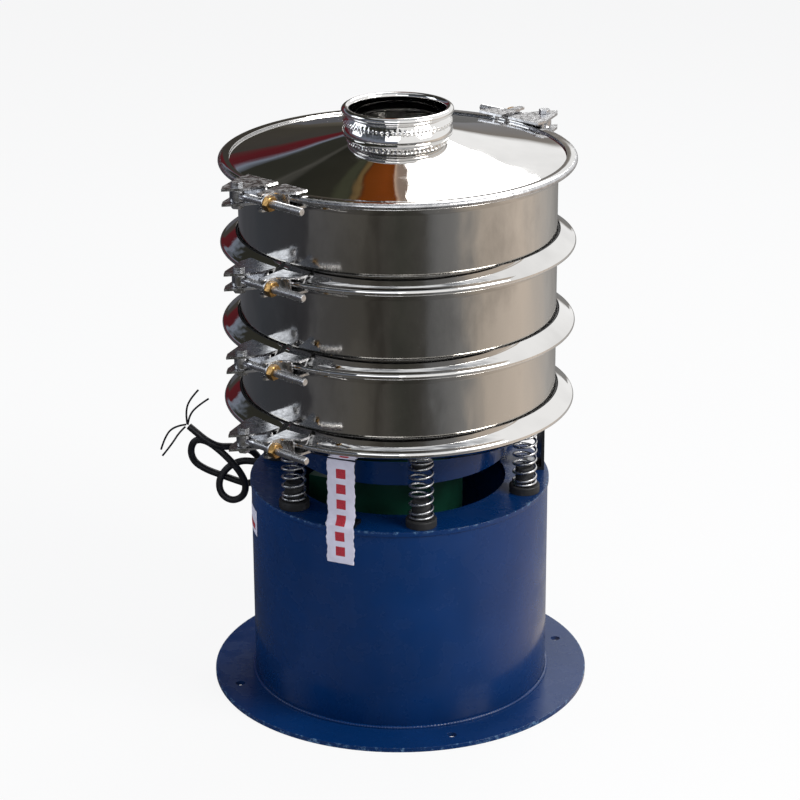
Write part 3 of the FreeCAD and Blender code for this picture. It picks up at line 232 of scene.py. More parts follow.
def softened(corners, reach, steps=6):
    """Each corner of a closed outline becomes a parabola arc that starts and ends at reach from it."""
    corners = np.asarray(corners, float)
    reach = np.broadcast_to(np.asarray(reach, float), len(corners))[:, None]
    back, ahead = np.roll(corners, 1, 0) - corners, np.roll(corners, -1, 0) - corners
    size_back, size_ahead = (np.linalg.norm(v, axis=1, keepdims=True) for v in (back, ahead))
    start = corners + back / size_back * np.minimum(reach, size_back * 0.49)
    end = corners + ahead / size_ahead * np.minimum(reach, size_ahead * 0.49)
    t = np.linspace(0, 1, steps)[None, :, None]
    arcs = (1 - t) ** 2 * start[:, None] + 2 * t * (1 - t) * corners[:, None] + t ** 2 * end[:, None]
    return arcs.reshape(-1, 2)


def turned(profile, start=0.0, sweep=2 * math.pi, steps=288, ripple=None):
    """Closed outline (r, z) carried round Z: x = r cos a, y = r sin a. ripple(a, r, z) gives new r and z."""
    profile = np.asarray(profile, float)
    whole_turn = abs(sweep) > 2 * math.pi - 1e-6
    a = start + np.linspace(0, sweep, steps, endpoint=not whole_turn)[:, None]
    r, z = (np.broadcast_to(profile[None, :, k], (steps, len(profile))) for k in (0, 1))
    if ripple:
        r, z = ripple(a, r, z)
    points = np.stack([r * np.cos(a), r * np.sin(a), z + 0 * a], -1).reshape(-1, 3)
    faces = grid_faces(steps, len(profile), whole_turn, True)
    if not whole_turn:
        last = (steps - 1) * len(profile)
        faces += [list(range(len(profile)))[::-1], list(range(last, last + len(profile)))]
    return points, outward(points, faces)


def wire(path, radius, side, sides=12, closed=False):
    """Round section carried along a path: p + radius (side cos t + up sin t), side and up square to it."""
    path, side = np.asarray(path, float), np.asarray(side, float)
    ahead = np.roll(path, -1, 0) - np.roll(path, 1, 0) if closed else np.gradient(path, axis=0)
    ahead /= np.linalg.norm(ahead, axis=1, keepdims=True)
    side = side - ahead * np.sum(side * ahead, 1, keepdims=True)
    side /= np.linalg.norm(side, axis=1, keepdims=True)
    up = np.cross(ahead, side)
    t = np.linspace(0, 2 * math.pi, sides, endpoint=False)[None, :, None]
    reach = np.broadcast_to(np.asarray(radius, float), len(path))[:, None, None]
    points = path[:, None] + reach * (side[:, None] * np.cos(t) + up[:, None] * np.sin(t))
    points = points.reshape(-1, 3)
    faces = grid_faces(len(path), sides, closed, True)
    if not closed:
        faces += [list(range(sides))[::-1], list(range((len(path) - 1) * sides, len(path) * sides))]
    return points, outward(points, faces)


def placed(shape, turn, origin):
    """Turns a shape about Z and moves it."""
    points, faces = shape
    c, s = math.cos(turn), math.sin(turn)
    return points @ np.array([[c, s, 0], [-s, c, 0], [0, 0, 1]]) + np.asarray(origin), faces


def joined(shapes):
    """Several shapes as one, the later ones' point numbers moved up."""
    points, faces, used = [], [], 0
    for shape_points, shape_faces in shapes:
        points.append(shape_points)
        faces += [[k + used for k in face] for face in shape_faces]
        used += len(shape_points)
    return np.concatenate(points), faces


def azimuth(degrees):
    return math.radians(degrees - 90)


def polar(radius, turn, height=0.0):
    return np.array([radius * math.cos(turn), radius * math.sin(turn), height])


def smoothstep(x, low, high):
    t = np.clip((x - low) / (high - low), 0, 1)
    return t * t * (3 - 2 * t)


# ---- pieces ----

def new_piece(name, shape, finish, body, replaced=(), sharp=35):
    """A mesh piece with its finish, its edges sharp past an angle, riding on its body."""
    points, faces = shape
    mesh = bpy.data.meshes.new(name)
    mesh.from_pydata(np.asarray(points).tolist(), [], faces)
    mesh.polygons.foreach_set("use_smooth", np.ones(len(mesh.polygons), bool))
    mesh.set_sharp_from_angle(angle=math.radians(sharp))
    mesh.materials.append(finish)
    mesh.validate()
    piece = bpy.data.objects.new(name, mesh)
    bpy.context.scene.collection.objects.link(piece)
    return settle(piece, body, replaced)


def settle(piece, body, replaced=()):
    """Attaches the piece to its body, if it has one, and hides the nodes it stands for; a piece between two
    bodies is given none.
    """
    if body:
        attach(piece, body)
    if replaced:
        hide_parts(*replaced)
    return piece


def dressed(node, finish=None, edge=0.0004, sharp=32):
    """The node's own shape with its triangles joined, its flat faces whole and its edges rounded."""
    work = bmesh.new()
    work.from_mesh(frame["nodes"][node].data)
    bmesh.ops.remove_doubles(work, verts=work.verts, dist=2e-6)
    bmesh.ops.dissolve_limit(work, angle_limit=math.radians(0.4), verts=work.verts, edges=work.edges)
    mesh = bpy.data.meshes.new(f"{node}_dressed")
    work.to_mesh(mesh)
    work.free()
    mesh.polygons.foreach_set("use_smooth", np.ones(len(mesh.polygons), bool))
    mesh.set_sharp_from_angle(angle=math.radians(sharp))
    mesh.materials.append(finish or FINISH[SLOT_OF[node]])
    piece = bpy.data.objects.new(f"{node}_dressed", mesh)
    bpy.context.scene.collection.objects.link(piece)
    if edge:
        rounding = piece.modifiers.new("rounded_edges", "BEVEL")
        rounding.width = edge
        rounding.segments = 2
        rounding.limit_method = "ANGLE"
        rounding.angle_limit = math.radians(sharp)
        rounding.harden_normals = True
    return settle(piece, BODY_OF[node], (node,))


# ---- finishes: node materials on Object coordinates ----

class Finish:
    """Node material under construction; each method adds a node and gives its output socket."""

    def __init__(self, name):
        self.material = bpy.data.materials.new(name)
        self.material.use_nodes = True
        self.tree = self.material.node_tree
        self.tree.nodes.clear()
        self.place = self.node("ShaderNodeTexCoord").outputs["Object"]

    def node(self, kind, inputs=None, **settings):
        item = self.tree.nodes.new(kind)
        for key, value in settings.items():
            setattr(item, key, value)
        for key, value in (inputs or {}).items():
            self.give(item.inputs[key], value)
        return item

    def give(self, socket, value):
        if isinstance(value, bpy.types.NodeSocket):
            self.tree.links.new(value, socket)
        else:
            socket.default_value = value

    def scaled(self, stretch):
        return self.node("ShaderNodeMapping", {"Vector": self.place, "Scale": stretch}).outputs["Vector"]

    def noise(self, scale, detail=3.0, stretch=None, roughness=0.55):
        vector = self.scaled(stretch) if stretch else self.place
        found = self.node("ShaderNodeTexNoise", {
            "Vector": vector, "Scale": scale, "Detail": detail, "Roughness": roughness})
        return found.outputs["Fac"]

    def span(self, value, low, high, to_low=0.0, to_high=1.0):
        found = self.node("ShaderNodeMapRange", {
            "Value": value, "From Min": low, "From Max": high, "To Min": to_low, "To Max": to_high},
            interpolation_type="SMOOTHSTEP")
        return found.outputs["Result"]

    def sums(self, operation, first, second):
        return self.node("ShaderNodeMath", {0: first, 1: second}, operation=operation).outputs[0]

    def part(self, axis):
        return self.node("ShaderNodeSeparateXYZ", {"Vector": self.place}).outputs[axis]

    def from_axis(self):
        """Distance from the sieve's axis."""
        flat = self.scaled((1, 1, 0))
        return self.node("ShaderNodeVectorMath", {0: flat}, operation="LENGTH").outputs["Value"]

    def mixed(self, share, first, second):
        mix = self.node("ShaderNodeMix", data_type="RGBA")
        self.give(mix.inputs["Factor"], share)
        for socket, value in ((mix.inputs["A"], first), (mix.inputs["B"], second)):
            self.give(socket, value if isinstance(value, bpy.types.NodeSocket) else (*value, 1.0))
        return mix.outputs["Result"]

    def bumped(self, height, strength, distance, normal=None):
        inputs = {"Height": height, "Strength": strength, "Distance": distance}
        if normal:
            inputs["Normal"] = normal
        return self.node("ShaderNodeBump", inputs).outputs["Normal"]

    def done(self, base, roughness, metallic=0.0, normal=None, **sockets):
        shader = self.node("ShaderNodeBsdfPrincipled")
        self.give(shader.inputs["Base Color"],
                  base if isinstance(base, bpy.types.NodeSocket) else (*base, 1.0))
        self.give(shader.inputs["Roughness"], roughness)
        self.give(shader.inputs["Metallic"], metallic)
        if normal:
            self.give(shader.inputs["Normal"], normal)
        for key, value in sockets.items():
            shader.inputs[key.replace("_", " ").title().replace("Ior", "IOR")].default_value = value
        self.node("ShaderNodeOutputMaterial", {"Surface": shader.outputs[0]})
        return self.material


def shade(base, factor):
    return tuple(min(1.0, part * factor) for part in base)


def polished_steel(colours):
    """Hand-polished sheet: slow waves, faint polishing lines round the axis, fingermarks in the gloss."""
    f = Finish("polished_steel")
    slow = f.bumped(f.noise(14, 1.5), 0.14, 0.0022)
    lines = f.bumped(f.noise(900, 2, (1, 1, 0.25)), 0.02, 0.0002, slow)
    smear = f.span(f.noise(26, 4), 0.48, 0.75, 0.025, 0.08)
    tone = f.mixed(f.span(f.noise(9, 3), 0.4, 0.7), colours.steel, shade(colours.steel, 0.86))
    return f.done(tone, smear, 1.0, lines)


def satin_steel(colours):
    """Rolled sheet: upright ripples left by rolling, fine upright scratches and dull water marks."""
    f = Finish("satin_steel")
    waves = f.bumped(f.noise(9, 2, (1, 1, 0.28)), 0.45, 0.006)
    dents = f.bumped(f.noise(34, 2, (1, 1, 0.5)), 0.16, 0.0012, waves)
    grain = f.bumped(f.noise(700, 3, (1, 1, 0.08)), 0.05, 0.0003, dents)
    stain = f.span(f.noise(7, 6, (1, 1, 0.5), 0.62), 0.45, 0.66)
    tone = f.mixed(stain, colours.frame_steel, shade(colours.frame_steel, 0.72))
    rough = f.span(f.noise(18, 5, (1, 1, 0.3)), 0.35, 0.7, 0.06, 0.14)
    return f.done(tone, rough, 1.0, grain)


# Name: colour, factor of its second tone, bump noise (scale, detail, strength, distance), tone noise
# (scale, detail, low, high), gloss noise (scale, detail, least, most) or one roughness, metallic.
PLAIN_FINISHES = {
    # Ground and tumbled steel with shallow pits and darker patches.
    "bolt_steel": ("cast_steel", 0.7, (420, 4, 0.07, 0.0005), (85, 4, 0.42, 0.72), (160, 3, 0.16, 0.38), 1.0),
    # Turned brass with brown tarnish.
    "brass": ("brass", 0.45, (800, 3, 0.15, 0.0002), (120, 4, 0.45, 0.72), (200, 3, 0.2, 0.42), 1.0),
    # Bright zinc on wire and small bolts, with a cloudy spangle.
    "zinc": ("zinc", 0.62, (900, 2, 0.12, 0.0002), (150, 4, 0.4, 0.75), (260, 3, 0.2, 0.4), 1.0),
    # Gloss black enamel with orange peel.
    "black_paint": ("black", 1.8, (260, 3, 0.12, 0.0006), (40, 4, 0.45, 0.75), 0.3, 0.0),
    # Satin green enamel over cast ribs.
    "motor_green": ("green", 0.6, (300, 4, 0.25, 0.0006), (24, 4, 0.4, 0.7), 0.42, 0.0),
    # Matt moulded rubber with pale dust in its pores.
    "black_rubber": ("rubber", 3.0, (700, 4, 0.3, 0.0004), (60, 5, 0.5, 0.8), (90, 3, 0.5, 0.8), 0.0),
    # Soft sheath with a dull shine and fine scuffs.
    "cable_black": ("cable", 2.6, (900, 3, 0.2, 0.0002), (140, 4, 0.5, 0.8), (70, 3, 0.32, 0.55), 0.0),
    # Matt ink that has taken unevenly.
    "red_print": ("red", 0.6, (1500, 3, 0.1, 0.0001), (900, 4, 0.4, 0.7), 0.6, 0.0),
}


def plain_finish(colours, name):
    """One fine bump, two tones of one colour in patches, and an even or patchy gloss."""
    colour_name, factor, bump, patches, gloss, metallic = PLAIN_FINISHES[name]
    f = Finish(name)
    fine = f.bumped(f.noise(*bump[:2]), *bump[2:])
    tone = getattr(colours, colour_name)
    tone = f.mixed(f.span(f.noise(*patches[:2]), *patches[2:]), tone, shade(tone, factor))
    if isinstance(gloss, tuple):
        gloss = f.span(f.noise(*gloss[:2]), 0.3, 0.7, *gloss[2:])
    return f.done(tone, gloss, metallic, fine)


def blue_paint(colours, base):
    """Brushed gloss enamel: orange peel, sags, patches of dust, and a painted highlight in pale blue along
    the ring's and flange's top edges.
    """
    f = Finish("blue_paint")
    peel = f.bumped(f.noise(240, 3), 0.10, 0.0008)
    sag = f.bumped(f.noise(16, 2, (1, 1, 0.35)), 0.30, 0.0022, peel)
    height, reach = f.part("Z"), f.from_axis()
    # Painted highlight along the lit edges: masks for the spring ring's top outer edge and the floor flange's
    # top outer edge.
    gap = f.sums("ABSOLUTE", f.sums("SUBTRACT", height, base.ring_top), 0)
    at_ring = f.sums("MULTIPLY", f.span(gap, 0.0005, 0.0035, 1, 0),
                     f.span(reach, base.ring_radius - 0.004, base.ring_radius - 0.001))
    at_flange = f.sums("MULTIPLY", f.span(reach, base.flange_radius - 0.0022, base.flange_radius - 0.0005),
                       f.span(height, base.drum_foot + 0.004, base.drum_foot + 0.002))
    edge = f.sums("MAXIMUM", at_ring, at_flange)
    # The edge masks, broken into patches by noise; these patches carry the painted edge highlight.
    patchy_edge_highlight = f.sums("MULTIPLY", edge, f.span(f.noise(130, 5, None, 0.7), 0.50, 0.64))
    dust = f.span(f.noise(11, 5), 0.45, 0.75, 0.0, 0.35)
    tone = f.mixed(dust, colours.blue, tuple(c * 0.8 + 0.004 for c in colours.blue))
    tone = f.mixed(f.span(f.noise(5, 3), 0.4, 0.7), tone, shade(colours.blue, 1.2))
    # Painted highlight: pale blue laid on the edge patches.
    tone = f.mixed(patchy_edge_highlight, tone, (0.10, 0.20, 0.34))
    rough = f.span(f.noise(30, 5), 0.3, 0.75, 0.20, 0.36)
    return f.done(tone, rough, 0.0, sag, specular_ior_level=0.3, coat_weight=0.2, coat_roughness=0.10)


def white_paper(colours):
    """Thin pasted paper: fibres, soft creases and a grey bloom."""
    f = Finish("white_paper")
    fibre = f.bumped(f.noise(1500, 4), 0.15, 0.0001)
    crease = f.bumped(f.noise(70, 3, (1, 1, 0.4)), 0.5, 0.0008, fibre)
    tone = f.mixed(f.span(f.noise(45, 4), 0.4, 0.75), colours.paper, shade(colours.paper, 0.86))
    return f.done(tone, 0.62, 0.0, crease)


def wire_cloth(colours):
    """Woven wire: two crossed waves raise the threads, with painted shade in the gaps between them."""
    f = Finish("wire_cloth")
    waves = []
    for axis in ("X", "Y"):
        wave = f.node("ShaderNodeTexWave", {"Vector": f.place, "Scale": 180.0}, bands_direction=axis)
        waves.append(wave.outputs["Fac"])
    weave = f.sums("MAXIMUM", waves[0], waves[1])
    # Painted shade: near-black where the weave is low, between the threads.
    tone = f.mixed(f.span(weave, 0.5, 0.9), (0.03, 0.03, 0.03), colours.zinc)
    return f.done(tone, 0.35, 1.0, f.bumped(weave, 0.5, 0.0004))


FINISH = {}


# ---- the section that lips, clamps and gaskets share ----

def lip_outer(s, radius):
    """Height of a lip's outer face over its clamp's middle: it falls with the lip's slope."""
    return s.lip_rise - (radius - s.frame_radius) * math.tan(s.lip_angle)


def leg_outer(s, radius):
    return lip_outer(s, radius) + (s.gasket + s.clamp_sheet) / math.cos(s.lip_angle)


def nose_centre(s):
    """Radius at which the leg's outer face meets the nose's height."""
    rise = s.lip_rise + (s.gasket + s.clamp_sheet) / math.cos(s.lip_angle) - s.nose_half
    return s.frame_radius + rise / math.tan(s.lip_angle)


def skin_section(s, flat_top):
    """Outline of the polished skin over a clamp: legs that bulge a little and a round nose between them."""
    edge, tip, skin = s.frame_radius + s.clamp_standoff, nose_centre(s), s.plating
    t = np.linspace(0, 1, 9)
    bulge = 4 * t * (1 - t) * 0.0005
    radius = edge + (tip - edge) * t
    leg = np.stack([radius, leg_outer(s, radius) + skin + bulge], -1)
    turn = np.linspace(math.radians(55), math.radians(-55), 13)
    round_nose = np.stack([tip + (s.nose_half + skin) * np.cos(turn) - 0.0003,
                           (s.nose_half + skin) * np.sin(turn)], -1)
    if flat_top:
        level = s.lid_seat + s.frame_wall + 0.0001 + s.clamp_sheet + skin
        over = np.array([[s.cone_foot, level], [s.cone_foot + 0.005, level + 0.0002], [tip, level]])
    else:
        over = leg
    under = leg[::-1] * [1, -1]
    outer = np.concatenate([over, round_nose, under])
    ahead = np.gradient(outer, axis=0)
    ahead /= np.linalg.norm(ahead, axis=1, keepdims=True)
    inner = outer + np.stack([ahead[:, 1], -ahead[:, 0]], -1) * (s.clamp_sheet * 0.5)
    return np.concatenate([outer, inner[::-1]])


# ---- operators ----

class PieceOperator:
    bl_options = {"REGISTER", "UNDO"}


class SIEVE_OT_finishes(PieceOperator, bpy.types.Operator):
    """Makes the node materials"""
    bl_idname = "sieve.finishes"
    bl_label = "Finishes"

    def execute(self, context):
        colours = context.scene.sieve_colours
        for make in (polished_steel, satin_steel, white_paper, wire_cloth):
            FINISH[make.__name__] = make(colours)
        for name in PLAIN_FINISHES:
            FINISH[name] = plain_finish(colours, name)
        FINISH["blue_paint"] = blue_paint(colours, context.scene.sieve_base)
        return {"FINISHED"}


class SIEVE_OT_plain_nodes(PieceOperator, bpy.types.Operator):
    """Rounds the edges of the rigid CAD pieces and gives them their finish"""
    bl_idname = "sieve.plain_nodes"
    bl_label = "Rigid pieces"

    def execute(self, context):
        made_elsewhere = {"base_drum", "springs", "notice_strip", "lid", "inlet_collar", "cable_lead",
                          "cable_hank", "cable_cores", "top_frame", "middle_frame", "bottom_frame"}
        for node in frame["nodes"]:
            if node in made_elsewhere or "swing_bolt" in node or "_nut_" in node:
                continue
            if node.endswith("_screen"):
                dressed(node, FINISH["wire_cloth"], 0)
            elif "_clamp_" in node:
                dressed(node, FINISH["bolt_steel"], 0.0005)
            else:
                dressed(node)
        return {"FINISHED"}


class SIEVE_OT_drum(PieceOperator, bpy.types.Operator):
    """Turns the drum and lays its rippled foot weld"""
    bl_idname = "sieve.drum"
    bl_label = "Drum and weld"

    def execute(self, context):
        b = context.scene.sieve_base
        outline = softened([
            (b.drum_radius - b.drum_wall, b.drum_foot), (b.drum_radius, b.drum_foot),
            (b.drum_radius, b.drum_top), (b.drum_radius - b.drum_wall, b.drum_top)], 0.0004, 3)

        def rolled(a, r, z):
            """The wall is a fraction of a millimetre out of round between its ends."""
            middle = np.sin(np.pi * (z - b.drum_foot) / (b.drum_top - b.drum_foot))
            return r + 0.00025 * middle * (np.sin(5 * a + 0.7) + 0.6 * np.sin(9 * a + 2.1)), z + 0 * a

        wall = turned(outline, steps=360, ripple=rolled)
        new_piece("drum_wall", wall, FINISH["blue_paint"], "base", ("base_drum",))
        turns = np.linspace(0, 2 * math.pi, 1500, endpoint=False)
        wander = 0.25 * np.sin(11 * turns) + 0.2 * np.sin(23 * turns + 1.3) + 0.15 * np.sin(41 * turns + 0.4)
        puddle = 0.16 * np.abs(np.sin(turns * 150 + 2 * np.sin(7 * turns)))
        thick = b.weld * 0.55 * (1 + 0.35 * wander + puddle)
        centre = b.drum_radius + b.weld * 0.22
        path = np.stack([centre * np.cos(turns), centre * np.sin(turns),
                         np.full_like(turns, b.drum_foot + b.weld * 0.22)], -1)
        bead = wire(path, thick, path * [1, 1, 0], 10, closed=True)
        new_piece("foot_weld", bead, FINISH["blue_paint"], "base", sharp=60)
        return {"FINISHED"}


class SIEVE_OT_springs(PieceOperator, bpy.types.Operator):
    """Winds the springs with closed ends"""
    bl_idname = "sieve.springs"
    bl_label = "Springs"

    def execute(self, context):
        b = context.scene.sieve_base
        steps = 30
        turns = np.linspace(0, b.spring_turns, int(b.spring_turns * steps))
        last_turns = smoothstep(turns, b.spring_turns - 1.25, b.spring_turns - 0.7)
        open_share = smoothstep(turns, 0.7, 1.25) * (1 - last_turns)
        rise = np.cumsum(open_share)
        closed = np.cumsum(1 - open_share) * b.spring_wire / steps
        free = b.spring_top - b.spring_foot - b.spring_wire - closed[-1]
        z = b.spring_foot + b.spring_wire / 2 + closed + rise / rise[-1] * free
        reach = b.spring_radius - b.spring_wire / 2
        out = np.stack([np.cos(turns * 2 * math.pi), np.sin(turns * 2 * math.pi), 0 * turns], -1)
        path = out * reach + np.stack([0 * z, 0 * z, z], -1)
        coil = wire(path, b.spring_wire / 2, out, 12)
        coils = []
        for k in range(b.spring_count):
            turn = b.spring_azimuth - math.pi / 2 + k * 2 * math.pi / b.spring_count
            own_turn, _ = placed(coil, 1.3 * k + 2.2, (0, 0, 0))
            coils.append((own_turn + polar(b.spring_circle, turn), coil[1]))
        piece = new_piece("spring_coils", joined(coils), FINISH["zinc"], None, ("springs",), 60)
        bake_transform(piece)
        return {"FINISHED"}


class SIEVE_OT_frames(PieceOperator, bpy.types.Operator):
    """Rolls the three frames with their flared lips and spout openings"""
    bl_idname = "sieve.frames"
    bl_label = "Frames"

    def execute(self, context):
        s = context.scene.sieve_stack
        for name, low, high in (("bottom", "lower", "middle"), ("middle", "middle", "upper"),
                                ("top", "upper", "lid")):
            box_low, box_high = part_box(f"{name}_spout")
            self.frame_wall(s, name, LEVEL[low], LEVEL[high], box_low, box_high)
        return {"FINISHED"}

    def frame_wall(self, s, name, low, high, box_low, box_high):
        """Outer surface on a grid of azimuths and heights, open where both lie in the spout's mouth."""
        centre = (np.array(box_low) + np.array(box_high)) / 2
        spout = math.atan2(centre[1], centre[0])
        rim, wall = 0.004, s.frame_wall
        mouth = (box_low[2] + rim + wall, box_high[2] - rim - wall)
        tip = s.frame_radius + s.lip_reach
        t = np.linspace(0, 1, 7)
        rise = s.lip_rise - lip_outer(s, tip)
        foot = np.stack([tip + (s.frame_radius - tip) * t, low + lip_outer(s, tip) + rise * t], -1)
        heights = [low + s.lip_rise + 0.0012]
        heights += sorted([mouth[0], mouth[1]]) + [high - s.lip_rise - 0.0012]
        runs = [np.linspace(a, b, 9)[:-1] for a, b in zip(heights[:-1], heights[1:])] + [heights[-1:]]
        middle = np.concatenate(runs)
        straight = np.stack([np.full_like(middle, s.frame_radius), middle], -1)
        head = np.stack([foot[::-1, 0], low + high - foot[::-1, 1]], -1)
        profile = np.concatenate([foot[:-1], [(s.frame_radius + 0.0004, low + s.lip_rise - 0.0001)], straight,
                                  [(s.frame_radius + 0.0004, high - s.lip_rise + 0.0001)], head[1:]])
        half = math.asin(s.spout_half / s.frame_radius)
        over_mouth = np.linspace(-half, half, 24)[:-1]
        a = spout + np.concatenate([over_mouth, np.linspace(half, 2 * math.pi - half, 280)[:-1]])
        r, z = profile[None, :, 0], profile[None, :, 1]
        share = np.sin(np.pi * np.clip((z - low - s.lip_rise) / (high - low - 2 * s.lip_rise), 0, 1))
        out_of_round = (np.sin(3 * a + low * 40) * 0.5 + np.sin(7 * a + low * 90) * 0.35
                        + np.sin(13 * a + low * 10) * 0.15)
        r = r + 0.00018 * share * out_of_round[:, None]
        points = np.stack([r * np.cos(a)[:, None], r * np.sin(a)[:, None], z + 0 * r], -1)
        columns = len(profile)
        faces = np.array(grid_faces(len(a), columns, True, False))
        row, column = faces[:, 0] // columns, faces[:, 0] % columns
        middle_z = (profile[column, 1] + profile[np.minimum(column + 1, columns - 1), 1]) / 2
        opening = (row < len(over_mouth)) & (middle_z > mouth[0]) & (middle_z < mouth[1])
        faces = faces[~opening][:, ::-1].tolist()
        piece = new_piece(f"{name}_frame_wall", (points.reshape(-1, 3), faces), FINISH["satin_steel"], DECK,
                          (f"{name}_frame",), 40)
        sheet = piece.modifiers.new("sheet", "SOLIDIFY")
        sheet.thickness = s.frame_wall
        sheet.offset = -1
        sheet.use_even_offset = True


class SIEVE_OT_lid(PieceOperator, bpy.types.Operator):
    """Spins the conical lid and its welded inlet with the rolled bead"""
    bl_idname = "sieve.lid"
    bl_label = "Lid and inlet"

    def execute(self, context):
        s = context.scene.sieve_stack
        low = LEVEL["lid"] + s.lid_seat + s.frame_wall
        top = low + s.lid_rise
        slope = s.lid_rise / (s.cone_foot - s.inlet_radius)
        wall = s.frame_wall
        t = np.linspace(0, 1, 40)
        run = s.cone_foot + (s.inlet_radius - s.cone_foot) * t
        cone = np.stack([run, low + (s.cone_foot - run) * slope], -1)
        outer = np.concatenate([[(s.lid_edge, low - wall * 0.9), (s.lid_edge, low)], cone])
        inner = cone[::-1] - [0, wall]
        outline = np.concatenate([outer, inner, [(s.lid_edge - 0.001, low - wall)]])

        def hammered(a, r, z):
            """Shallow rays run down the cone, and two slow rings cross them."""
            share = (smoothstep(r, s.inlet_radius, s.inlet_radius + 0.02)
                     * (1 - smoothstep(r, s.cone_foot - 0.02, s.cone_foot)))
            rays = np.sin(5 * a + 0.4) + 0.7 * np.sin(11 * a + 1.9) + 0.4 * np.sin(17 * a + 4.0)
            rings = np.sin((r - 0.06) * 62 + 1.5 * np.sin(2 * a))
            return r + 0 * a, z + share * (0.00007 * rays + 0.00009 * rings)

        new_piece("lid_cone", turned(outline, steps=360, ripple=hammered), FINISH["polished_steel"], DECK,
                  ("lid",), 40)
        self.inlet(s, top, slope)
        return {"FINISHED"}

    # Neck from its foot to the bead: out from the bore, up from the cone's top; the weld is its widest place.
    NECK = ((0.0084, 0.0034), (0.0074, 0.0058), (0.0062, 0.0084), (0.0072, 0.0102),
            (0.0082, 0.0122), (0.0074, 0.0144), (0.0058, 0.0162), (0.0046, 0.0182))
    WELD_LEVEL = 0.0122
    WELD_HALF = 0.0028

    def inlet(self, s, top, slope):
        """Neck with a low foot on the cone, a rippled weld round it and a bead whose section is a circle."""
        bead, inlet = s.inlet_bead, s.inlet_radius
        rim = top + s.inlet_height
        fall = s.inlet_foot * slope
        around = np.linspace(-0.62 * math.pi, 1.0 * math.pi, 26)
        rolled = np.stack([inlet + bead + bead * np.cos(around), rim - bead + bead * np.sin(around)], -1)
        neck = [(inlet, top - 0.001), (inlet + s.inlet_foot, top - fall + 0.0002),
                (inlet + s.inlet_foot, top - fall + s.frame_wall)]
        neck += [(inlet + out, top + up) for out, up in self.NECK]
        outline = np.concatenate([neck, rolled])

        def welded(a, r, z):
            """The weld's radius swells and shrinks puddle by puddle."""
            share = np.exp(-((z - top - self.WELD_LEVEL) / self.WELD_HALF) ** 2) * (r > inlet + 0.003)
            puddles = np.abs(np.sin(34 * a + 0.8 * np.sin(5 * a))) - 0.5
            return r + share * 0.0011 * puddles, z + share * 0.0005 * np.sin(21 * a)

        shape = turned(outline, steps=480, ripple=welded)
        new_piece("inlet_neck", shape, FINISH["polished_steel"], DECK,
                  ("inlet_collar",), 50)


class SIEVE_OT_clamps(PieceOperator, bpy.types.Operator):
    """Lays the polished skins over the clamp halves"""
    bl_idname = "sieve.clamps"
    bl_label = "Clamp rings"

    def execute(self, context):
        s = context.scene.sieve_stack
        sweep = math.pi - 2 * s.clamp_gap / s.frame_radius
        for name in CLAMPS:
            section = skin_section(s, name == "lid") + [0, LEVEL[name]]
            for half, side in (("front", 0), ("rear", math.pi)):
                start = s.joint_azimuth - math.pi / 2 + side + s.clamp_gap / s.frame_radius
                shape = turned(section, start, sweep, 200)
                new_piece(f"{name}_clamp_skin_{half}", shape, FINISH["polished_steel"], DECK)
        return {"FINISHED"}


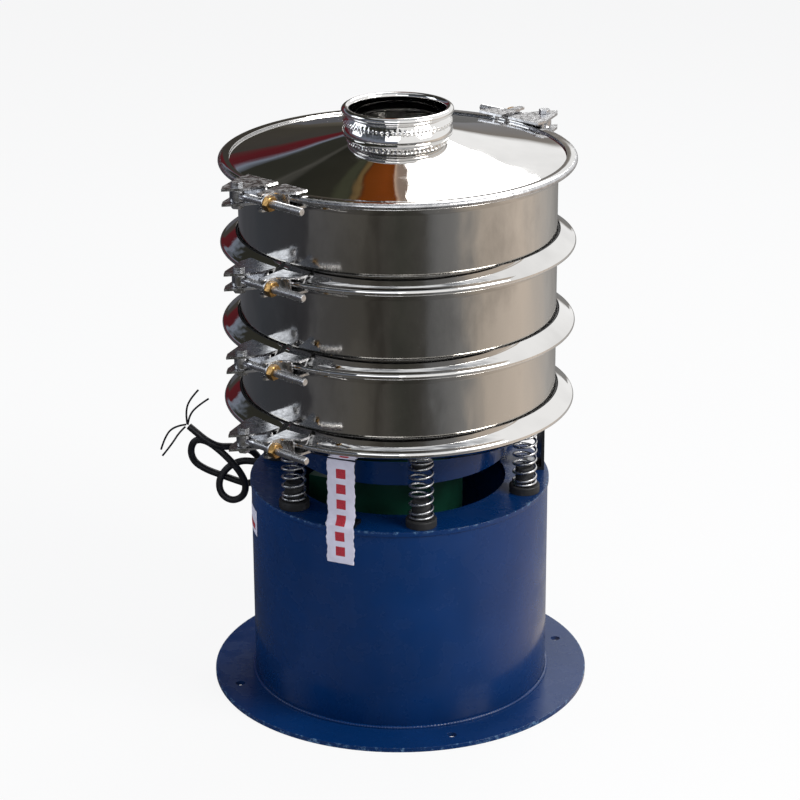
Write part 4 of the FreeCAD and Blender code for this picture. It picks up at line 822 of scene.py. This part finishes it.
class SIEVE_OT_swing_bolts(PieceOperator, bpy.types.Operator):
    """Cuts the threaded swing bolts, and their washers and chamfered nuts"""
    bl_idname = "sieve.swing_bolts"
    bl_label = "Swing bolts and nuts"

    def execute(self, context):
        s, b = context.scene.sieve_stack, context.scene.sieve_bolts
        for name in CLAMPS:
            for side, half_turn in (("left", 0), ("right", math.pi)):
                turn = s.joint_azimuth - math.pi / 2 + half_turn
                body = f"{name}_bolt_{side}"
                place = (0, 0, LEVEL[name])
                bolt = placed(self.bolt(b), turn, place)
                new_piece(f"{body}_thread", bolt, FINISH["bolt_steel"], body,
                          (f"{name}_swing_bolt_{side}",), 50)
                nut = placed(self.nut(b), turn, place)
                new_piece(f"{body}_nut", nut, FINISH["brass"], body, (f"{name}_nut_{side}",), 25)
                washer = placed(self.washer(b), turn, place)
                new_piece(f"{body}_washer", washer, FINISH["zinc"], body)
        return {"FINISHED"}

    def along(self, b, rows, sides, radius):
        """Rows of a round bar about the bolt's line: radius(angle, row) at each of sides angles."""
        t = np.linspace(0, 2 * math.pi, sides, endpoint=False)[None, :]
        rows = np.asarray(rows)[:, None]
        r = radius(t, rows)
        points = np.stack([b.bolt_line + r * np.cos(t), rows + 0 * t, r * np.sin(t)], -1).reshape(-1, 3)
        faces = grid_faces(len(rows), sides, False, True)
        faces += [list(range(sides)), list(range((len(rows) - 1) * sides, len(rows) * sides))[::-1]]
        return points, outward(points, faces)

    def bolt(self, b):
        """Eye about the pivot, plain neck, then a thread: a triangle wave of y/pitch - angle."""
        foot = -b.pivot_offset
        end = foot + b.rod_length
        start = foot + b.eye_radius + 0.012
        point = 0.0012

        def radius(t, y):
            wave = np.abs(2 * ((y / b.thread_pitch - t / (2 * math.pi)) % 1) - 1)
            cut = b.thread_depth * wave * smoothstep(y, start, start + 0.002)
            chamfer = np.clip((y - end + point) / point, 0, 1) * 0.0011
            return b.rod_radius - np.maximum(cut, chamfer)

        rows = np.concatenate([np.linspace(foot + b.eye_radius * 0.6, start, 8)[:-1],
                               np.arange(start, end - point, b.thread_pitch / 6),
                               np.linspace(end - point, end, 4)])
        rod = self.along(b, rows, 22, radius)
        ring = softened([(b.pivot_radius, -b.eye_half), (b.eye_radius, -b.eye_half),
                         (b.eye_radius, b.eye_half), (b.pivot_radius, b.eye_half)], 0.001, 4)
        eye = placed(turned(ring, steps=48), 0, (b.bolt_line, foot, 0))
        return joined([rod, eye])

    def nut(self, b):
        """Hexagon radius f / 2 cos(angle from the flat's middle), cut by a cone at each face."""
        low = b.nut_seat + b.washer
        high = low + b.nut_height

        def radius(t, y):
            flat = (t % (math.pi / 3)) - math.pi / 6
            hexagon = b.nut_flats / 2 / np.cos(flat)
            depth = np.minimum(y - low, high - y)
            return np.minimum(hexagon, b.nut_flats / 2 * 0.97 + depth * 1.9)

        depths = np.array([0, 0.0003, 0.0006, 0.0009, 0.0013])
        rows = np.concatenate([low + depths, (high - depths)[::-1]])
        return self.along(b, rows, 72, radius)

    def washer(self, b):
        """Flat disc whose two rims are cut back by a fraction of a millimetre."""
        rim = 0.0003
        rows = b.nut_seat + np.array([0, rim, b.washer - rim, b.washer])

        def radius(t, y):
            at_face = np.minimum(y - b.nut_seat, b.nut_seat + b.washer - y) < 1e-5
            return b.washer_radius + 0 * t - rim * at_face

        return self.along(b, rows, 48, radius)


class SIEVE_OT_papers(PieceOperator, bpy.types.Operator):
    """Pastes the long strip over the ring's edge and the small label on the drum"""
    bl_idname = "sieve.papers"
    bl_label = "Paper strip and label"

    def execute(self, context):
        b = context.scene.sieve_base
        self.strip(b)
        self.label(b)
        return {"FINISHED"}

    def strip_point(self, b, s, z, lift=0.0):
        """Flat on its bracket, out over the ring's edge, then wrapped on the drum: x = sqrt(R^2 - s^2)."""
        over_ring = smoothstep(z, b.ring_top + 0.012, b.ring_top + 0.001)
        out = b.strip_face + (b.ring_radius + 0.0005 - b.strip_face) * over_ring
        flat = out + 0 * s
        fall = smoothstep(z, b.ring_top - 0.006, b.ring_top - 0.03)
        radius = b.ring_radius + 0.0005 + (b.drum_radius + 0.0004 - b.ring_radius - 0.0005) * fall
        wrapped = np.sqrt(radius ** 2 - s ** 2)
        share = smoothstep(z, b.ring_top + 0.006, b.ring_top - 0.004)
        crease = 0.0004 * np.sin(s * 330 + z * 90) * np.sin(z * 140) * (1 - share)
        corner = 0.0016 * smoothstep(z, b.strip_foot + 0.010, b.strip_foot) * smoothstep(s, 0.006, 0.018)
        return flat * (1 - share) + wrapped * share + crease + corner + lift

    def strip(self, b):
        rows, columns, per_mark = 110, 25, 9
        s, z = np.meshgrid(np.linspace(-0.5, 0.5, columns) * b.strip_width,
                           np.linspace(b.strip_foot, b.strip_top, rows))
        ragged = 0.0006 * np.sin(z * 260) + 0.0004 * np.sin(z * 710)
        s = s + ragged * (np.abs(s) > b.strip_width * 0.49)
        points = np.stack([self.strip_point(b, s, z), s, z], -1).reshape(-1, 3)
        paper = placed((points, grid_faces(rows, columns)), b.strip_azimuth - math.pi / 2, (0, 0, 0))
        piece = new_piece("pasted_strip", paper, FINISH["white_paper"], "base",
                          ("notice_strip",), 60)
        sheet = piece.modifiers.new("paper", "SOLIDIFY")
        sheet.thickness = 0.00025
        sheet.offset = 0
        marks = []
        half, first, spacing = b.strip_width * 0.17, b.strip_foot + 0.016, 0.0205
        for k in range(6):
            middle = first + k * spacing
            s, z = np.meshgrid(np.linspace(-half, half, per_mark),
                               np.linspace(middle - half, middle + half, per_mark))
            points = np.stack([self.strip_point(b, s, z, 0.00028), s, z], -1).reshape(-1, 3)
            marks.append(placed((points, grid_faces(per_mark, per_mark)), b.strip_azimuth - math.pi / 2,
                                (0, 0, 0)))
        new_piece("strip_marks", joined(marks), FINISH["red_print"], "base", sharp=60)

    def label(self, b):
        """Small label wrapped on the drum, with one plain red bar; the sides are shares of the label."""
        rows, columns = 9, 25
        patches = (("drum_label", "white_paper", 0.0004, -0.5, 0.5, 0.0, 1.0),
                   ("label_bar", "red_print", 0.0006, -0.42, 0.30, 0.18, 0.42))
        for name, finish, lift, left, right, low, high in patches:
            radius = b.drum_radius + lift
            a, z = np.meshgrid(np.linspace(left, right, columns) * b.label_width / radius,
                               b.label_low + np.linspace(low, high, rows) * (b.label_high - b.label_low))
            points = np.stack([radius * np.cos(a), radius * np.sin(a), z], -1).reshape(-1, 3)
            patch = placed((points, grid_faces(rows, columns)), b.label_azimuth - math.pi / 2, (0, 0, 0))
            new_piece(name, patch, FINISH[finish], "base")


# Route of the supply cable, as the frame's cable solids lie: out of the gland, then round the hank.
CABLE_ROUTE = [
    (-182.4, 97.0, 252.0), (-197.3, 104.9, 252.0), (-214.0, 108.0, 251.0), (-231.0, 108.0, 242.0),
    (-243.0, 105.0, 225.0), (-241.0, 102.0, 206.0), (-226.0, 99.0, 196.0), (-210.0, 97.0, 203.0),
    (-205.0, 95.0, 221.0), (-213.0, 93.5, 241.0), (-226.0, 93.0, 258.0), (-240.0, 95.0, 272.0),
    (-257.0, 99.0, 284.0), (-273.0, 104.0, 284.0), (-280.0, 107.0, 268.0), (-276.0, 109.0, 250.0),
    (-260.0, 110.0, 238.0), (-240.0, 112.0, 229.0), (-221.0, 113.0, 221.0), (-203.0, 114.0, 214.0),
    (-189.0, 115.0, 224.0), (-185.0, 116.0, 242.0), (-192.0, 114.0, 259.0), (-206.0, 108.0, 270.0),
    (-223.0, 98.0, 276.0), (-240.0, 89.0, 279.0), (-256.0, 88.0, 288.0), (-268.0, 92.0, 297.0),
    (-279.6, 97.0, 305.5),
]
CORE_ROUTES = [
    [(-282.0, 100.0, 307.0), (-284.0, 101.0, 322.0), (-279.0, 102.0, 341.0), (-266.0, 102.0, 355.0)],
    [(-281.0, 97.0, 308.0), (-279.0, 95.0, 321.0), (-268.0, 94.0, 335.0), (-252.0, 93.0, 346.0)],
    [(-284.0, 103.0, 305.5), (-298.0, 105.0, 303.0), (-312.0, 107.0, 290.0), (-319.0, 108.0, 268.0)],
    [(-284.5, 98.0, 304.5), (-293.0, 96.0, 297.0), (-303.0, 94.0, 281.0), (-316.0, 93.0, 265.0)],
]


def cord_piece(name, route, diameter, finish):
    """One open smooth curve with the route's points as control points and a round section."""
    curve = bpy.data.curves.new(name, "CURVE")
    curve.dimensions = "3D"
    curve.bevel_depth = diameter / 2
    curve.bevel_resolution = 5
    curve.resolution_u = 10
    curve.use_fill_caps = True
    spline = curve.splines.new("NURBS")
    spline.points.add(len(route) - 1)
    flat = np.column_stack([np.array(route) * MM, np.ones(len(route))]).ravel()
    spline.points.foreach_set("co", flat)
    spline.order_u = 3
    spline.use_endpoint_u = True
    curve.materials.append(finish)
    piece = bpy.data.objects.new(name, curve)
    bpy.context.scene.collection.objects.link(piece)
    return piece


class SIEVE_OT_cable(PieceOperator, bpy.types.Operator):
    """Lays the supply cable in its hank, with four bare cores at its end"""
    bl_idname = "sieve.cable"
    bl_label = "Supply cable"

    def execute(self, context):
        c = context.scene.sieve_cable
        cable = cord_piece("supply_cable", CABLE_ROUTE, c.cable, FINISH["cable_black"])
        settle(cable, "base", ("cable_lead", "cable_hank"))
        for k, route in enumerate(CORE_ROUTES, start=1):
            core = cord_piece(f"bare_core_{k}", route, c.core, FINISH["cable_black"])
            settle(core, "base", ("cable_cores",))
        return {"FINISHED"}


class SIEVE_OT_stage(PieceOperator, bpy.types.Operator):
    """Lays the pale floor, hangs the lamps and sets the camera"""
    bl_idname = "sieve.stage"
    bl_label = "Stage"

    def execute(self, context):
        stage = context.scene.sieve_stage
        self.floor(stage)
        self.world(context)
        self.lamps()
        self.camera(context, stage)
        context.scene.view_settings.view_transform = "Standard"
        return {"FINISHED"}

    def floor(self, stage):
        """Nearly white to the camera, grey to matt surfaces, and bands of tone by azimuth to mirrors."""
        half = stage.floor_size / 2
        mesh = bpy.data.meshes.new("floor")
        corners = [(-half, -half, 0), (half, -half, 0), (half, half, 0), (-half, half, 0)]
        mesh.from_pydata(corners, [], [(0, 1, 2, 3)])
        f = Finish("pale_floor")
        seen = f.node("ShaderNodeLightPath")
        lit = f.node("ShaderNodeBsdfDiffuse", {"Color": (0.80, 0.80, 0.80, 1)}).outputs[0]
        pale = f.node("ShaderNodeEmission", {"Color": (1.0, 1.0, 1.0, 1), "Strength": 1.0}).outputs[0]
        pale_share = 0.88
        shown = f.node("ShaderNodeMixShader", {0: pale_share, 1: lit, 2: pale}).outputs[0]
        toward = f.node("ShaderNodeMath", {0: f.part("X"), 1: f.sums("MULTIPLY", f.part("Y"), -1)},
                        operation="ARCTAN2").outputs[0]
        toward = f.sums("ADD", toward, f.sums("MULTIPLY", f.sums("SUBTRACT", f.noise(4, 3), 0.5), 0.45))
        ground = self.banded(f, toward, (
            (-180, (0.10, 0.10, 0.11)), (-110, (0.05, 0.055, 0.065)), (-66, (0.045, 0.045, 0.05)),
            (-62, (0.10, 0.10, 0.105)), (-24, (0.10, 0.094, 0.083)), (-15, (0.05, 0.046, 0.040)),
            (-11, (0.085, 0.080, 0.072)), (0, (0.06, 0.06, 0.052)), (16, (0.075, 0.072, 0.066)),
            (24, (0.16, 0.162, 0.165)), (44, (0.24, 0.237, 0.235)), (60, (0.56, 0.49, 0.42)),
            (95, (0.75, 0.65, 0.56)), (130, (0.50, 0.48, 0.46)), (180, (0.12, 0.12, 0.12))))
        mirrored = f.node("ShaderNodeEmission", {"Color": ground, "Strength": 1.0}).outputs[0]
        not_camera = f.node("ShaderNodeMixShader", {
            0: seen.outputs["Is Glossy Ray"], 1: lit, 2: mirrored}).outputs[0]
        final = f.node("ShaderNodeMixShader", {0: seen.outputs["Is Camera Ray"], 1: not_camera, 2: shown})
        f.node("ShaderNodeOutputMaterial", {"Surface": final.outputs[0]})
        mesh.materials.append(f.material)
        floor = bpy.data.objects.new("floor", mesh)
        bpy.context.scene.collection.objects.link(floor)

    def banded(self, f, turn, stops):
        """Colours by an angle in radians, from stops of degrees and tone."""
        share = f.sums("ADD", f.sums("DIVIDE", turn, 2 * math.pi), 0.5)
        bands = f.node("ShaderNodeValToRGB", {"Fac": share})
        ramp = bands.color_ramp
        while len(ramp.elements) < len(stops):
            ramp.elements.new(0.5)
        for element, (degrees, tone) in zip(ramp.elements, stops):
            element.position = degrees / 360 + 0.5
            element.color = (*tone, 1)
        return bands.outputs[0]

    # What the lid's cone mirrors, in radians: the middle's elevation, and the reach from it up and to a side.
    MIRRORED_MIDDLE = 0.3665
    MIRRORED_UP = 0.4276
    MIRRORED_BESIDE = 0.188

    def world(self, context):
        """White to the camera, a soft grey sky to matt surfaces, and dark and warm walls to mirrors."""
        world = bpy.data.worlds.new("studio")
        context.scene.world = world
        world.use_nodes = True
        f = Finish.__new__(Finish)
        f.tree = world.node_tree
        f.tree.nodes.clear()
        f.place = f.node("ShaderNodeTexCoord").outputs["Generated"]
        x, y, z = (f.part(axis) for axis in "XYZ")
        beside = f.node("ShaderNodeMath", {0: x, 1: y}, operation="ARCTAN2").outputs[0]
        beside = f.sums("DIVIDE", beside, self.MIRRORED_BESIDE)
        raised = f.sums("SUBTRACT", f.sums("ARCSINE", z, 0), self.MIRRORED_MIDDLE)
        raised = f.sums("DIVIDE", raised, self.MIRRORED_UP)
        turn = f.sums("ARCTAN2", beside, raised)
        wander = f.sums("MULTIPLY", f.sums("SUBTRACT", f.noise(16, 3), 0.5), 0.22)
        walls = self.banded(f, f.sums("ADD", turn, wander), (
            (-180, (0.20, 0.18, 0.15)), (-150, (0.05, 0.045, 0.036)), (-112, (0.05, 0.045, 0.04)),
            (-106, (0.10, 0.014, 0.018)), (-97, (0.09, 0.014, 0.018)), (-93, (0.20, 0.23, 0.29)),
            (-86, (0.03, 0.03, 0.024)), (-74, (0.03, 0.03, 0.024)), (-70, (0.07, 0.068, 0.06)),
            (-64, (0.022, 0.022, 0.017)), (-45, (0.028, 0.027, 0.020)), (-42, (0.05, 0.052, 0.033)),
            (-35.5, (0.05, 0.052, 0.033)), (-34.5, (0.012, 0.012, 0.01)), (-33.5, (0.16, 0.105, 0.045)),
            (-31, (0.15, 0.10, 0.042)), (-30, (0.012, 0.01, 0.01)), (-29, (0.14, 0.036, 0.006)),
            (-10, (0.19, 0.046, 0.008)), (0.5, (0.16, 0.040, 0.007)), (1.5, (0.62, 0.45, 0.34)),
            (3.5, (0.28, 0.21, 0.17)), (15, (0.24, 0.185, 0.15)), (17, (0.11, 0.12, 0.15)),
            (20, (0.8, 0.9, 0.97)), (47, (0.95, 1.0, 1.0)), (50, (0.18, 0.22, 0.28)),
            (54, (1.0, 1.0, 1.0)), (116, (1.0, 1.0, 1.0)), (124, (0.22, 0.20, 0.18)),
            (160, (0.22, 0.22, 0.23)), (180, (0.20, 0.18, 0.15))))
        overhead = f.span(f.noise(5, 2, (0.6, 3.0, 1)), 0.42, 0.58, 0.20, 0.85)
        sky = f.mixed(overhead, (0.10, 0.11, 0.13), (0.95, 0.97, 1.0))
        mirrored = f.mixed(f.span(z, 0.80, 0.93), walls, sky)
        seen = f.node("ShaderNodeLightPath")
        clear = f.sums("MAXIMUM", seen.outputs["Is Camera Ray"], seen.outputs["Is Transmission Ray"])
        matt = f.node("ShaderNodeBackground", {"Color": (0.80, 0.86, 1.0, 1), "Strength": 0.34}).outputs[0]
        glossy = f.node("ShaderNodeBackground", {"Color": mirrored, "Strength": 1.0}).outputs[0]
        white = f.node("ShaderNodeBackground", {"Color": (1, 1, 1, 1), "Strength": 1.0}).outputs[0]
        first = f.node("ShaderNodeMixShader", {
            0: seen.outputs["Is Glossy Ray"], 1: matt, 2: glossy}).outputs[0]
        last = f.node("ShaderNodeMixShader", {0: clear, 1: first, 2: white}).outputs[0]
        f.node("ShaderNodeOutputWorld", {"Surface": last})

    def lamps(self):
        """Soft boxes: name, power in watts, side, azimuth, elevation, distance, colour."""
        aim = 0.4
        boxes = (
            ("key_box", 70.0, 1.3, 62, 38, 3.0, (1.0, 0.98, 0.95)),
            ("front_box", 16.0, 1.6, -12, 30, 3.4, (0.97, 0.98, 1.0)),
            ("left_box", 14.0, 1.4, -95, 30, 3.2, (0.88, 0.93, 1.0)),
            ("back_box", 34.0, 1.4, 160, 45, 3.2, (1.0, 0.99, 0.97)),
        )
        for name, power, side, degrees, raised, distance, tone in boxes:
            lamp = bpy.data.lights.new(name, "AREA")
            lamp.shape = "SQUARE"
            lamp.size = side
            lamp.energy = power
            lamp.color = tone
            holder = bpy.data.objects.new(name, lamp)
            flat = distance * math.cos(math.radians(raised))
            spot = polar(flat, azimuth(degrees), aim + distance * math.sin(math.radians(raised)))
            self.aimed(holder, spot, np.array([0, 0, aim]))
            bpy.context.scene.collection.objects.link(holder)

    def aimed(self, item, spot, target, roll=0.0):
        """Matrix with -Z towards the target and X level, then turned clockwise by roll."""
        ahead = (target - spot) / np.linalg.norm(target - spot)
        right = np.cross(ahead, [0, 0, 1.0])
        right /= np.linalg.norm(right)
        up = np.cross(right, ahead)
        c, s = math.cos(roll), math.sin(roll)
        matrix = np.eye(4)
        matrix[:3, 0] = right * c - up * s
        matrix[:3, 1] = right * s + up * c
        matrix[:3, 2] = -ahead
        matrix[:3, 3] = spot
        item.matrix_world = Matrix(matrix.tolist())

    def camera(self, context, stage):
        lens = bpy.data.cameras.new("camera")
        lens.sensor_width = 36.0
        lens.lens = stage.focal
        lens.shift_x = stage.shift
        lens.clip_end = 100.0
        camera = bpy.data.objects.new("camera", lens)
        target = np.array([0, 0, stage.look_height])
        back = np.array([0, -math.cos(stage.elevation), math.sin(stage.elevation)]) * stage.distance
        self.aimed(camera, target + back, target, stage.roll)
        context.scene.collection.objects.link(camera)
        context.scene.camera = camera


class SIEVE_PT_panel(bpy.types.Panel):
    """Lists the steps in order"""
    bl_idname = "SIEVE_PT_panel"
    bl_label = "Vibrating sieve"
    bl_space_type = "VIEW_3D"
    bl_region_type = "UI"
    bl_category = "Sieve"

    def draw(self, context):
        for operator in OPERATORS:
            self.layout.operator(operator.bl_idname)
        for holder in GROUPS:
            group = getattr(context.scene, holder)
            box = self.layout.box()
            box.label(text=type(group).__name__)
            for name in type(group).__annotations__:
                box.prop(group, name)


GROUPS = {
    "sieve_base": BaseSizes, "sieve_stack": StackSizes, "sieve_bolts": BoltSizes,
    "sieve_cable": CableSizes, "sieve_colours": Colours, "sieve_stage": StageSettings,
}
OPERATORS = (
    SIEVE_OT_finishes, SIEVE_OT_plain_nodes, SIEVE_OT_drum, SIEVE_OT_springs, SIEVE_OT_frames, SIEVE_OT_lid,
    SIEVE_OT_clamps, SIEVE_OT_swing_bolts, SIEVE_OT_papers, SIEVE_OT_cable, SIEVE_OT_stage,
)


def register():
    for item in (*GROUPS.values(), *OPERATORS, SIEVE_PT_panel):
        bpy.utils.register_class(item)
    for holder, group in GROUPS.items():
        setattr(bpy.types.Scene, holder, bpy.props.PointerProperty(type=group))


def unregister():
    for holder in GROUPS:
        delattr(bpy.types.Scene, holder)
    for item in reversed((*GROUPS.values(), *OPERATORS, SIEVE_PT_panel)):
        bpy.utils.unregister_class(item)


def main():
    register()
    for operator in OPERATORS:
        group, name = operator.bl_idname.split(".")
        getattr(getattr(bpy.ops, group), name)()


if __name__ == "__main__":
    main()
